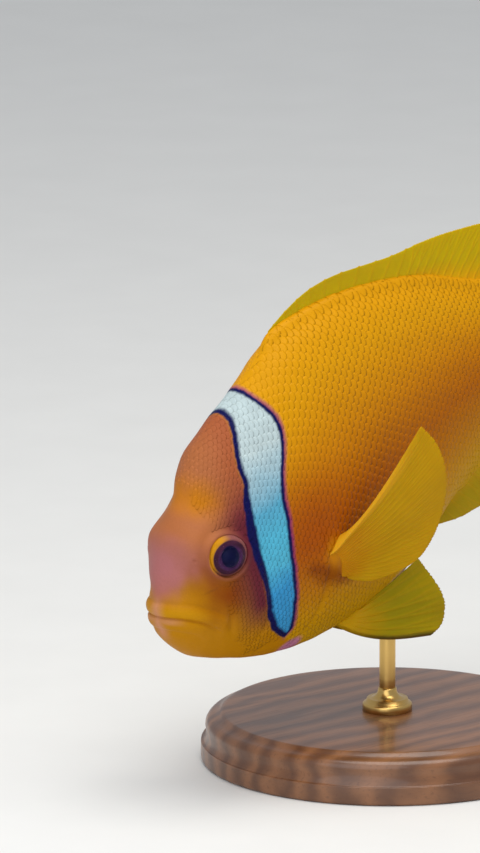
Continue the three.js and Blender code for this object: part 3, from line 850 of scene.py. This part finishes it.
def plate_template():
    """One scale: its points (back, across), which of them are underneath, and its faces."""
    turn = np.arange(PLATE_POINTS) * 2 * np.pi / PLATE_POINTS
    wave = np.stack((np.cos(turn), np.sin(turn)), -1)
    rim = np.sign(wave) * np.abs(wave) ** 0.85
    centre = np.zeros((1, 2))
    flat = np.vstack((centre, rim * 0.62, rim, rim * 0.97, centre))
    inner, outer, low = (1 + row * PLATE_POINTS + np.arange(PLATE_POINTS) for row in range(3))
    tris = np.vstack((fan(inner, 0), fan(low, len(flat) - 1, True)))
    quads = np.vstack((strip(inner, outer), strip(outer, low)))
    return flat, np.arange(len(flat)) > 2 * PLATE_POINTS, tris, quads


def scale_places(flesh):
    """Where scales grow: x, turn, half length in x, half width in turn, row and side of each."""
    found = []
    x = SCALES_FROM
    column = 0
    while x < SCALES_TO:
        width, step = (np.interp(x, SCALE_PITCH[:, 0], SCALE_PITCH[:, k]) for k in (1, 2))
        girth = np.interp(math.sqrt(min(x, 100)), flesh.root, flesh.girth)
        rows = np.arange(-60, 61) + 0.5 * (column % 2)
        down = ROW_ZERO_AT * girth + rows * width
        keep = (down > 0.15 * width) & (down < girth - 0.15 * width)
        down, rows = down[keep], rows[keep]
        for side in (1, -1):
            turn = 0.5 * down / girth if side > 0 else 1 - 0.5 * down / girth
            found.append(np.stack(np.broadcast_arrays(
                x, turn, PLATE_LENGTH * step, PLATE_BREADTH * width / girth, rows, side), -1))
        x += step
        column += 1
    return np.concatenate(found)


def is_bare(places):
    """Where no scale grows: snout, jaws, eye, gill groove, throat and pectoral lobe."""
    x, y, z = places.T
    apart, _ = from_path(x, z, CLEFT)
    gill, along = from_path(x, z, GILL_EDGE)
    rise = (z - station(BELLY, x)) / (station(BACK, x) - station(BELLY, x))
    groove = (np.abs(gill - 0.45) < 0.4) & (along > 0.45) & (x < 33) & (np.abs(y) > 1.5)
    lobe = hump(x, 31.0, 1.9) * hump(z, -7.4, 3.6) > 0.4
    snout = ((x < 11.5) & (apart < 3.4)) | (x < 9 + 3.5 * hump(rise, 1.0, 0.35))
    throat = (x < 20) & (z < -15.5)
    return (from_gaze(places) < BARE_ROUND_EYE) | snout | groove | throat | lobe


def make_scales(model, flesh):
    """All the scales, lying back along the body, joined into pieces by where they grow."""
    rng = np.random.default_rng(model.sizes.scale_seed)
    scales = scale_places(flesh)
    scales = scales[~is_bare(flesh.at(flesh.rings, scales[:, 0], scales[:, 1]))]
    at_x, at_turn, half_length, half_width, row, side = (scales[:, k, None] for k in range(6))
    flat, under, tris, quads = plate_template()
    size = 1 + 0.05 * rng.standard_normal(at_x.shape)
    twist = 0.05 * rng.standard_normal(at_x.shape)
    tint = rng.random(at_x.shape)
    back = flat[:, 0] - twist * flat[:, 1]
    across = flat[:, 1] + twist * flat[:, 0]
    x = at_x + back * half_length * size
    turn = at_turn + across * half_width * size * side
    skin = flesh.at(flesh.rings, x, turn)
    skin[..., 0] += np.maximum(x - 100.0, 0)

    small = np.interp(at_x, *SCALE_RELIEF.T)
    height = model.sizes.scale_lift * small * (-0.75 + 1.75 * (back + 1) / 2)
    height += 0.01 * small * (1 - np.clip(across, -1, 1) ** 2)
    has_pore = (np.abs(row - LATERAL_ROW) < 0.3) & (at_x > 30)
    height += 0.1 * has_pore * hump(across, 0, 0.16) * hump(back, 0.55, 0.35)
    height -= under * PLATE_THICK * small
    points = skin + unit(flesh.at(flesh.normals, x, turn)) * height[..., None]
    plate = np.stack(np.broadcast_arrays(back, across, tint), -1)
    roots = np.sqrt(np.maximum(scales[:, 0] - scales[:, 2], 0))
    along_skin = np.interp(roots, flesh.root, flesh.unwrap[NOSE_RINGS:NOSE_RINGS + RINGS])
    root_uv = np.stack((along_skin, np.clip(scales[:, 1], 0.002, 0.998)), -1)
    patch = root_uv[:, None] + UNWRAP_PATCH * np.stack((back, across), -1)

    material = scale_paint(model.colours)
    on_left = scales[:, 5] > 0
    band = np.digitize(scales[:, 0], (HEAD_SCALES_TO, FRONT_SCALES_TO))
    on_top = np.arange(2 * PLATE_POINTS) < PLATE_POINTS
    groups = [("scales_head", band == 0, "head_skin")]
    for k, word in ((1, "front"), (2, "rear")):
        for hand, here in (("left", on_left), ("right", ~on_left)):
            groups.append((f"scales_{word}_{hand}", (band == k) & here, "body_skin"))
    for name, chosen, slot in groups:
        total = int(chosen.sum())
        mine = points[chosen].reshape(-1, 3)
        start = (np.arange(total) * len(flat))[:, None, None]
        flip = ~on_left[chosen, None, None]
        faces = [(np.where(flip, f[:, ::-1], f) + start).reshape(-1, f.shape[1]) for f in (tris, quads)]
        corners = np.concatenate([f.ravel() for f in faces])
        make_piece(name, mine, faces, material, smooth=np.tile(on_top, 2 * total),
                   values={**fields(mine), "plate": plate[chosen].reshape(-1, 3)},
                   unwrap=patch[chosen].reshape(-1, 2)[corners])


# ---- fins

FIN_COLUMNS_PER_RAY = 10
FIN_ROWS = 52
FIN_SINK = 2.2
FIN_WEB = 0.12
SPINE_NOTCH = 0.022
SOFT_NOTCH = 0.014
RAY_JOINTS = 22
DORSAL_SPINES = 10
DORSAL_RAYS = 27
# x where the fin begins, where the dorsal fin's soft rays begin, and where the fin ends
DORSAL_SPAN = (37, 64.9, 87)
ANAL_SPAN = (58, 87)
# straight places, or x and z in the middle plane
PECTORAL_ROOT = ((30.2, 7.5, -4.8), (31.0, 7.2, -7.5), (32.3, 6.4, -10.4))
PECTORAL_RIM = (
    (51.3, 17.4, 10.1), (52.9, 17.7, 6.2), (53.2, 17.8, 1.4), (52.4, 17.2, -3.8), (49.9, 15.9, -8.8),
    (45.6, 14.0, -13.0), (40.2, 11.6, -15.4))
PELVIC_ROOT = ((32.4, 2.3, -21.6), (34.4, 2.2, -21.9), (36.8, 2.1, -22.0))
PELVIC_RIM = (
    (49.0, 5.1, -32.9), (52.0, 5.2, -32.2), (53.5, 5.2, -29.4), (53.5, 4.9, -26.1), (52.7, 4.4, -22.4),
    (51.7, 4.2, -19.4))
SPINY_RIM = ((38.8, 31.1), (43.5, 32.7), (48.5, 33.7), (54, 33.5), (60, 32.2), (65.6, 30.9), (70.7, 30.2))
SOFT_RIM = (
    (70.7, 30.2), (76, 29.2), (80.5, 28.1), (85, 26.9), (89.3, 25.2), (92.4, 22.4), (93.2, 19.2), (91, 16.2))
ANAL_RIM = (
    (59.2, -18.2), (64.2, -19.7), (68.5, -20.1), (73, -20.4), (78, -20.6), (83, -20.0), (87.5, -18),
    (90.6, -14.6), (91.2, -10.8), (89.8, -7.6))
TAIL_ROOT_AT = 100.31
TAIL_ROOT_HALF = 7.6
TAIL_MIDDLE = 4.05
TAIL_FAN = math.radians(26)
TAIL_RAY = 18.5
TAIL_BULGE = 5.8


def curve(points, side=1):
    """A line through places, mirrored where side is -1, as a function of 0 to 1."""
    placed = [(p[0], side * p[1], p[2]) if len(p) == 3 else (p[0], 0, p[1]) for p in points]
    return lambda u: smooth_path(placed, u)


def dorsal_root(u):
    """Root of the dorsal fin, its spines and then its soft rays evenly shared out."""
    x = np.interp(u * DORSAL_RAYS, (0, DORSAL_SPINES, DORSAL_RAYS), DORSAL_SPAN)
    return np.stack((x, 0 * x, station(BACK, x) - FIN_SINK), -1)


def anal_root(u):
    x = np.interp(u, (0, 1), ANAL_SPAN)
    return np.stack((x, 0 * x, station(BELLY, x) + FIN_SINK), -1)


def dorsal_rim(u):
    share = u * DORSAL_RAYS
    spiny = curve(SPINY_RIM)(share / DORSAL_SPINES)
    soft = curve(SOFT_RIM)((share - DORSAL_SPINES) / (DORSAL_RAYS - DORSAL_SPINES))
    return np.where((share < DORSAL_SPINES)[..., None], spiny, soft)


def tail_root(u):
    return np.stack((TAIL_ROOT_AT + 0 * u, 0 * u, TAIL_MIDDLE + TAIL_ROOT_HALF * (1 - 2 * u)), -1)


def tail_rim(u):
    up = 1 - 2 * u
    ray = TAIL_RAY + TAIL_BULGE * (1 - up**4)
    return tail_root(u) + np.stack((ray * np.cos(TAIL_FAN * up), 0 * u, ray * np.sin(TAIL_FAN * up)), -1)


def rays(u, v, count, spines):
    """Relief of the fin rays, 0 on the web and 1 on a ray; soft ones fork twice."""
    beat = u * count
    off = beat - np.floor(beat) - 0.5
    first = 0.235 * blend_step(v, 0.38, 0.95)
    second = 0.11 * blend_step(v, 0.68, 1.0)
    width = 0.13 * (1 - 0.5 * v)
    soft = np.max([hump(off, a * first + b * second, width) for a in (-1, 1) for b in (-1, 1)], 0)
    return np.where(beat < spines, hump(off, 0, 0.12 * (1.1 - 0.5 * v)), soft)


def fin_paint(name, colours, gold, root, edge_dark=False, lead_bright=False):
    """Fin skin: body colour at the root, olive gold beyond it, rays a little brighter."""
    paint = Paint(name, Coat_Weight=0.02, Specular_IOR_Level=0.07, Subsurface_Weight=0.15,
                  Subsurface_Scale=0.001)
    along, out, ray = paint.split(paint.value("fin"))
    cloud = paint.noise(paint.value("fish"), 0.35, 3.0)
    fibre = paint.noise(paint.stretch(paint.value("fin"), (40.0, 3.0, 1.0)), 4.0, 3.0)
    colour = paint.mix(paint.step(out + (cloud - 0.5) * 0.25, 0.08, 0.55), root, gold)
    colour = paint.mix(ray * 0.25, colour, colours.fin_ray)
    colour = paint.scaled(colour, 0.86 + cloud * 0.18 + fibre * 0.1)
    if lead_bright:
        lead = paint.step(along, 0.11, 0.04) * paint.step(out, 1.0, 0.6)
        colour = paint.mix(lead * 0.9, colour, colours.lead_ray)
    if edge_dark:
        dark = paint.step(along + (cloud - 0.5) * 0.06, 0.16, 0.02) * (1 - paint.step(out, 0.5, 0.1) * 0.6)
        colour = paint.mix(dark * 0.9, colour, colours.fin_shade)
    return paint.finish(colour, 0.42 + fibre * 0.16, fibre + ray * 0.5, 6e-5, 0.45)


def make_fin(name, nodes, root, rim, count, material, bow=(0, 0, 0), spines=0, wave=0.25, root_thick=0.9,
             ray=0.2, round_off=0.0, lead=0.0):
    """A closed fin blade with raised rays between root and rim."""
    columns = count * FIN_COLUMNS_PER_RAY + 1
    u, v = np.broadcast_arrays(np.linspace(0, 1, columns), np.linspace(0, 1, FIN_ROWS)[:, None] ** 0.85)
    raised = rays(u, v, count, spines)
    at_rim = rays(u, np.ones_like(v), count, spines)
    spiny = u * count < spines
    notch = np.where(spiny, SPINE_NOTCH, SOFT_NOTCH) * (1 - at_rim) * blend_step(v, 0.6, 1.0)
    reach = v * (1 - notch) * (1 - round_off * np.clip((u - 0.8) / 0.2, 0, 1) ** 2.5)
    sheet = root(u) + (rim(u) - root(u)) * reach[..., None]
    sheet = sheet + np.asarray(bow) * (np.sin(np.pi * reach**0.8) * (1 - 0.7 * u))[..., None]
    normal = unit(np.cross(np.gradient(sheet, axis=1), np.gradient(sheet, axis=0)))
    sheet = sheet + normal * (wave * v**1.5 * np.sin(2 * np.pi * (1.6 * u + 0.35 * v)))[..., None]

    thick = FIN_WEB * (1 - 0.35 * v) + root_thick * hump(v, 0.09, 0.13)
    thick += ray * raised * blend_step(v, 0.04, 0.3) * (1 - 0.72 * v)
    thick += lead * hump(u, 0.035, 0.045) * (1 - 0.75 * v)
    thick -= 0.04 * raised * (np.cos(2 * np.pi * v * RAY_JOINTS) > 0.75) * (v > 0.25) * ~spiny
    edge = np.minimum(np.minimum(u, 1 - u) * count * 1.6, (1 - v) * 26)
    skin = normal * (thick * np.sqrt(np.clip(edge, 0.02, 1)))[..., None]

    def both(near, far):
        """The rows of one face of the blade and back along the other."""
        return np.concatenate((near, far[:, ::-1]), axis=1)

    points = both(sheet + skin, sheet - skin).reshape(-1, 3)
    width = 2 * columns
    near = np.arange(columns - 1)
    far = width - 1 - near
    cap = np.stack((near, near + 1, far - 1, far), -1)
    faces = [tube(FIN_ROWS, width), cap, cap[:, ::-1] + (FIN_ROWS - 1) * width]
    fin = np.stack([both(a, a).ravel() for a in (u, v, raised)], -1)
    flags = np.arange(sum(map(len, faces))) < len(faces[0])
    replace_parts(make_piece(name, points, faces, material, smooth=flags,
                           values={"fish": points, "fin": fin}), *nodes)


def make_fins(model):
    """The dorsal, anal and tail fins, and the pectoral and pelvic fins of each side."""
    colours = model.colours
    plain = fin_paint("fin_olive", colours, colours.dorsal_gold, colours.back)
    low = fin_paint("fin_low", colours, colours.anal_olive, colours.belly)
    bright = fin_paint("fin_bright_leading", colours, colours.pectoral_gold, colours.fin_root,
                       lead_bright=True)
    dark = fin_paint("fin_dark_edge", colours, colours.pelvic_olive, colours.belly, edge_dark=True)
    make_fin("dorsal_rays", ("dorsal_fin_spiny", "dorsal_fin_soft"), dorsal_root, dorsal_rim, DORSAL_RAYS,
             plain, spines=DORSAL_SPINES, wave=0.3, ray=0.16)
    make_fin("anal_rays", ("anal_fin",), anal_root, curve(ANAL_RIM), 16, low, spines=2, wave=0.35)
    make_fin("tail_rays", ("tail_fin",), tail_root, tail_rim, 16, plain, wave=0.4, root_thick=1.1)
    for side, word in ((1, "left"), (-1, "right")):
        make_fin(f"pectoral_{word}", (f"pectoral_fin_{word}",), curve(PECTORAL_ROOT, side),
                 curve(PECTORAL_RIM, side), 19, bright, (-1.9, 1.4 * side, -2.2), wave=0.3,
                 root_thick=1.25, ray=0.14, round_off=0.4, lead=0.3)
        make_fin(f"pelvic_{word}", (f"pelvic_fin_{word}",), curve(PELVIC_ROOT, side),
                 curve(PELVIC_RIM, side), 6, dark, (-0.6, 0, -1.8), root_thick=0.8)


# ---- eyes

LENS_RADIUS = 2.05
LENS_AT = 2.0
GLOBE_RADIUS = 4.0
CORNEA_INSIDE = 4.14
EYE_SEGMENTS = 96
PUPIL_RADIUS = 2.0
PUPIL_RAISED = 0.3
PUPIL_NARROW = 0.8
# radius and height of the iris, from the lens out to the socket
IRIS = ((1.85, 3.18), (1.98, 3.28), (2.2, 3.27), (2.6, 3.04), (2.95, 2.8), (3.08, 2.74), (3.2, 2.72),
        (3.34, 2.58), (3.5, 2.3))


def iris_paint(colours):
    """Iris, pupil and gold rim, by distance from the line of sight."""
    paint = Paint("eye_iris", Specular_IOR_Level=0.08)
    radius, turn, height = paint.split(paint.value("eye"))
    place = paint.value("fish")
    fibre = paint.noise(paint.join(radius * 0.6, turn * 40.0, height), 1.4, 4.0, 0.6)
    colour = paint.mix(paint.step(radius, 1.9, 2.5), colours.iris_light, colours.iris)
    colour = paint.scaled(colour, 0.6 + fibre * 0.8)
    above = paint.split(place)[2] - (EYE_AT[2] + PUPIL_RAISED)
    oval = paint.measure("LENGTH", paint.join(radius * turn / PUPIL_NARROW, above, 0))
    colour = paint.mix(paint.step(oval, PUPIL_RADIUS + 0.16, PUPIL_RADIUS - 0.16), colour, colours.pupil)
    rim = paint.step(radius, 2.88, 3.06)
    colour = paint.mix(rim * 0.8, colour, colours.orbit)
    colour = paint.mix(rim * paint.step(round_eye(paint, place), 0.3, 0.85), colour, colours.eye_gold)
    return paint.finish(colour, 0.36 + fibre * 0.1, fibre, 4e-5, 0.4)


def cornea_paint():
    paint = Paint("eye_cornea", Transmission_Weight=1.0, IOR=1.03)
    grain = paint.noise(paint.value("eye"), 0.8, 2.0)
    tint = paint.mix(grain, (0.96, 0.97, 0.98), (0.99, 0.99, 1.0))
    return paint.finish(tint, 0.015 + grain * 0.02)


def bowl(radius, start, end, steps, centre=0.0):
    """Profile rows along a sphere, by angle from its pole."""
    return [(radius * math.sin(a), centre + radius * math.cos(a)) for a in np.linspace(start, end, steps)]


def make_eyes(model):
    """Each eye: a globe with a bulging lens, iris and gold rim, under a clear cornea."""
    iris = iris_paint(model.colours)
    cornea = cornea_paint()
    ball = bowl(LENS_RADIUS, 0.03, 0.98, 14, LENS_AT) + list(IRIS) + bowl(GLOBE_RADIUS, 1.12, 3.1, 22)
    shell = bowl(EYE_RADIUS, 0.02, 0.98, 30) + bowl(CORNEA_INSIDE, 0.98, 0.02, 30)
    for side, word in ((1, "left"), (-1, "right")):
        centre = EYE_AT * (1, side, 1)
        for name, profile, material in (("eyeball", ball, iris), ("cornea", shell, cornea)):
            points, faces, (radius, turn, height) = lathe(profile, EYE_SEGMENTS, centre, gaze(side))
            values = {"fish": points, "eye": np.stack((radius, np.cos(turn), height), -1)}
            piece = make_piece(f"{name}_{word}", points, faces, material, values=values)
            if name == "eyeball":
                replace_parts(piece, f"eye_{word}")


# ---- stand and stage

MM = 1e-3
STAND_SEGMENTS = 144


def wood_paint(looks):
    paint = Paint("stand_walnut", Coat_Weight=0.35, Coat_Roughness=0.12)
    place = paint.place()
    drift = paint.noise(place, 22.0, 3.0)
    x, y, z = paint.split(place)
    rings = paint.node("ShaderNodeTexWave", {"bands_direction": "Y", "wave_profile": "SIN"}, {
        "Vector": paint.join(x * 0.35 + drift * 0.006, y + drift * 0.01, z + 0.02), "Scale": 62.0,
        "Distortion": 5.0, "Detail": 3.0, "Detail Scale": 2.0}, 1)
    pores = paint.noise(paint.stretch(place, (120.0, 2200.0, 2200.0)), 1.0, 3.0, 0.7)
    colour = paint.mix(rings * 0.75, looks.wood, looks.wood_dark)
    colour = paint.mix(paint.step(pores, 0.52, 0.75) * 0.5, colour, looks.wood_dark)
    return paint.finish(colour, 0.3 + pores * 0.18, pores, 5e-5, 0.3)


def brass_paint(looks):
    paint = Paint("stand_brass", Metallic=1.0)
    place = paint.place()
    brush = paint.noise(paint.stretch(place, (90.0, 90.0, 5200.0)), 1.0, 3.0, 0.6)
    cloud = paint.noise(place, 130.0, 2.0)
    colour = paint.scaled(looks.brass, 0.86 + cloud * 0.2 + brush * 0.08)
    return paint.finish(colour, 0.2 + brush * 0.16 + cloud * 0.06, brush, 2e-5, 0.25)


def arc(radius_at, height_at, radius, start, end, steps):
    """Profile rows round a small arc, angles in degrees from outward to up."""
    angles = np.radians(np.linspace(start, end, steps))
    return [(radius_at + radius * math.cos(a), height_at + radius * math.sin(a)) for a in angles]


def in_mm(node):
    """Radius, foot and top of a turned part of the stand, in millimetres."""
    low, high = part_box(node)
    return high[0] / MM, low[2] / MM, high[2] / MM


def make_stand(model):
    """A turned walnut base with a brass collar and rod, each from a profile in millimetres."""
    rim = model.stand.base_radius / MM
    _, _, top = in_mm("stand_base")
    collar, _, collar_top = in_mm("stand_collar")
    rod, rod_foot, rod_top = in_mm("stand_rod")
    bead = 1.5
    base = [(0.4 * rim, 0), (rim - 0.8, 0), *arc(rim - 0.6, 0.6, 0.6, -80, 0, 5), (rim, 3.0),
            *arc(rim - 0.2, 3.4, 0.35, -60, -180, 6), (rim - 1.0, 3.9),
            *arc(rim - 0.7 - bead, top - bead - 0.8, bead, 0, 80, 8), (rim - 3.0, top - 0.5),
            (rim - 3.3, top - 0.05), (rim - 3.8, top), (0.6 * rim, top), (0.2 * rim, top)]
    seat = [(0.3 * collar, top - 0.1), (collar, top - 0.1), (collar, top + 0.7),
            *arc(collar - 0.5, top + 0.9, 0.5, 0, 90, 5),
            *arc(rod + 1.7, collar_top - 0.2, 1.5, -80, -175, 8),
            (rod + 0.15, collar_top), (0.5 * rod, collar_top)]
    pole = [(0.4 * rod, rod_foot + 3), (rod, rod_foot + 3), (rod, rod_foot + 9), (rod, rod_top - 1),
            (rod - 0.4, rod_top), (0.3 * rod, rod_top)]
    wood, brass = wood_paint(model.stand), brass_paint(model.stand)
    for name, node, profile, material, slot in (
            ("base_turned", "stand_base", base, wood, "stand_wood"),
            ("collar_turned", "stand_collar", seat, brass, "stand_metal"),
            ("rod_round", "stand_rod", pole, brass, "stand_metal")):
        points, faces, _ = lathe(np.array(profile) * MM, STAND_SEGMENTS)
        flags = np.arange(sum(map(len, faces))) < len(faces[0])
        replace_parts(make_piece(name, points, [f[:, ::-1] for f in faces], material, smooth=flags,
                               posed=True), node)


CAMERA_AZIMUTH = math.radians(-42.5)
CAMERA_ELEVATION = math.radians(13.72)
VIEW_HEIGHT = 134.7 * MM
VIEW_RIGHT = 13.59 * MM
VIEW_UP = 28.63 * MM
SENSOR = 36.0
LIT_FROM = Vector((0, 0, 0.05))
# how far each light stands from there, to the right, up and toward the camera, its size and its tint
KEY = ((0.03, 0.46, 0.20), 0.5, (1.0, 0.97, 0.92))
FILL = ((-0.15, 0.10, 0.55), 0.6, (0.92, 0.96, 1.0))
FLOOR_RINGS = (0.05, 0.4, 1.5, 6.0)
FLOOR_SEGMENTS = 96


def stage_object(name, data):
    item = bpy.data.objects.new(name, data)
    bpy.context.scene.collection.objects.link(item)
    return item


def area_light(name, axes, plan, energy):
    """A round soft light that looks at the fish."""
    offset, size, tint = plan
    light = bpy.data.lights.new(name, "AREA")
    light.shape = "DISK"
    light.size = size
    light.energy = energy
    light.color = tint
    lamp = stage_object(name, light)
    away = sum((axis * step for axis, step in zip(axes, offset)), Vector())
    lamp.location = LIT_FROM + away
    lamp.rotation_euler = (-away).to_track_quat("-Z", "Y").to_euler()


def make_stage(model):
    """Floor, soft lights and the camera."""
    looks = model.stage
    scene = bpy.context.scene
    a, e = CAMERA_AZIMUTH, CAMERA_ELEVATION
    toward = Vector((math.sin(a) * math.cos(e), -math.cos(a) * math.cos(e), math.sin(e)))
    right = Vector((math.cos(a), math.sin(a), 0))
    up = toward.cross(right)
    middle = Vector(pose((0, 0, 0))) + VIEW_RIGHT * right + VIEW_UP * up
    camera = stage_object("camera", bpy.data.cameras.new("camera"))
    camera.location = middle + toward * looks.camera_distance
    camera.rotation_euler = (-toward).to_track_quat("-Z", "Y").to_euler()
    camera.data.sensor_width = SENSOR
    camera.data.lens = SENSOR * looks.camera_distance / VIEW_HEIGHT
    camera.data.clip_start = 0.05
    scene.camera = camera

    turn = np.arange(FLOOR_SEGMENTS) * 2 * np.pi / FLOOR_SEGMENTS
    rows = [(r * np.cos(turn), r * np.sin(turn), 0 * turn) for r in FLOOR_RINGS]
    points = np.vstack((np.moveaxis(np.array(rows), 1, -1).reshape(-1, 3), (0, 0, 0)))
    faces = [tube(len(FLOOR_RINGS), FLOOR_SEGMENTS), fan(np.arange(FLOOR_SEGMENTS), len(points) - 1)]
    mesh = bpy.data.meshes.new("floor")
    mesh.from_pydata(points.tolist(), [], [face for kind in faces for face in kind.tolist()])
    paint = Paint("floor_pale", Specular_IOR_Level=0.2)
    grain = paint.noise(paint.place(), 60.0, 4.0)
    mesh.materials.append(paint.finish(paint.scaled(looks.floor, 0.97 + grain * 0.06), 0.8 + grain * 0.1))
    stage_object("floor", mesh)

    world = bpy.data.worlds.new("surround")
    world.use_nodes = True
    sky = world.node_tree.nodes["Background"]
    sky.inputs["Color"].default_value = (*looks.sky, 1)
    sky.inputs["Strength"].default_value = looks.sky_strength
    scene.world = world
    area_light("key", (right, up, toward), KEY, looks.key_power)
    area_light("fill", (right, up, toward), FILL, looks.fill_power)
    scene.view_settings.view_transform = "Standard"


# ---- the tools of the panel

SHARED = {}


class SkinTool(bpy.types.Operator):
    """Makes the one skin of head, trunk and tail stem."""

    bl_idname = "clownfish.skin"
    bl_label = "Skin"

    def execute(self, context):
        SHARED["flesh"] = make_skin(context.scene.clownfish_model)
        return {"FINISHED"}


class ScalesTool(bpy.types.Operator):
    """Lays the scales over the skin."""

    bl_idname = "clownfish.scales"
    bl_label = "Scales"

    def execute(self, context):
        if "flesh" not in SHARED:
            raise RuntimeError("make the skin before the scales")
        make_scales(context.scene.clownfish_model, SHARED["flesh"])
        return {"FINISHED"}


class FinsTool(bpy.types.Operator):
    """Makes the dorsal, anal, tail, pectoral and pelvic fins."""

    bl_idname = "clownfish.fins"
    bl_label = "Fins"

    def execute(self, context):
        make_fins(context.scene.clownfish_model)
        return {"FINISHED"}


class EyesTool(bpy.types.Operator):
    """Makes both eyes and their clear corneas."""

    bl_idname = "clownfish.eyes"
    bl_label = "Eyes"

    def execute(self, context):
        make_eyes(context.scene.clownfish_model)
        return {"FINISHED"}


class StandTool(bpy.types.Operator):
    """Makes the base, collar and rod."""

    bl_idname = "clownfish.stand"
    bl_label = "Stand"

    def execute(self, context):
        make_stand(context.scene.clownfish_model)
        return {"FINISHED"}


class StageTool(bpy.types.Operator):
    """Sets the floor, the lights and the camera."""

    bl_idname = "clownfish.stage"
    bl_label = "Stage"

    def execute(self, context):
        make_stage(context.scene.clownfish_model)
        return {"FINISHED"}


TOOLS = (StageTool, SkinTool, ScalesTool, FinsTool, EyesTool, StandTool)


class ClownfishPanel(bpy.types.Panel):
    """Lists the tools and what can be changed."""

    bl_idname = "VIEW3D_PT_clownfish"
    bl_label = "Clownfish model"
    bl_space_type = "VIEW_3D"
    bl_region_type = "UI"
    bl_category = "Clownfish"

    def draw(self, context):
        model = context.scene.clownfish_model
        for tool in TOOLS:
            self.layout.operator(tool.bl_idname)
        for group in (model.sizes, model.colours, model.stand, model.stage):
            box = self.layout.box()
            for name in group.__annotations__:
                box.prop(group, name)


CLASSES = (FishColours, FishSizes, StandLooks, StageLooks, ClownfishModel, *TOOLS, ClownfishPanel)


def register():
    for item in CLASSES:
        bpy.utils.register_class(item)
    bpy.types.Scene.clownfish_model = PointerProperty(type=ClownfishModel)


def unregister():
    del bpy.types.Scene.clownfish_model
    for item in reversed(CLASSES):
        bpy.utils.unregister_class(item)


def main():
    """Makes everything."""
    register()
    bpy.ops.clownfish.stage()
    bpy.ops.clownfish.skin()
    bpy.ops.clownfish.scales()
    bpy.ops.clownfish.fins()
    bpy.ops.clownfish.eyes()
    bpy.ops.clownfish.stand()


if __name__ == "__main__":
    main()
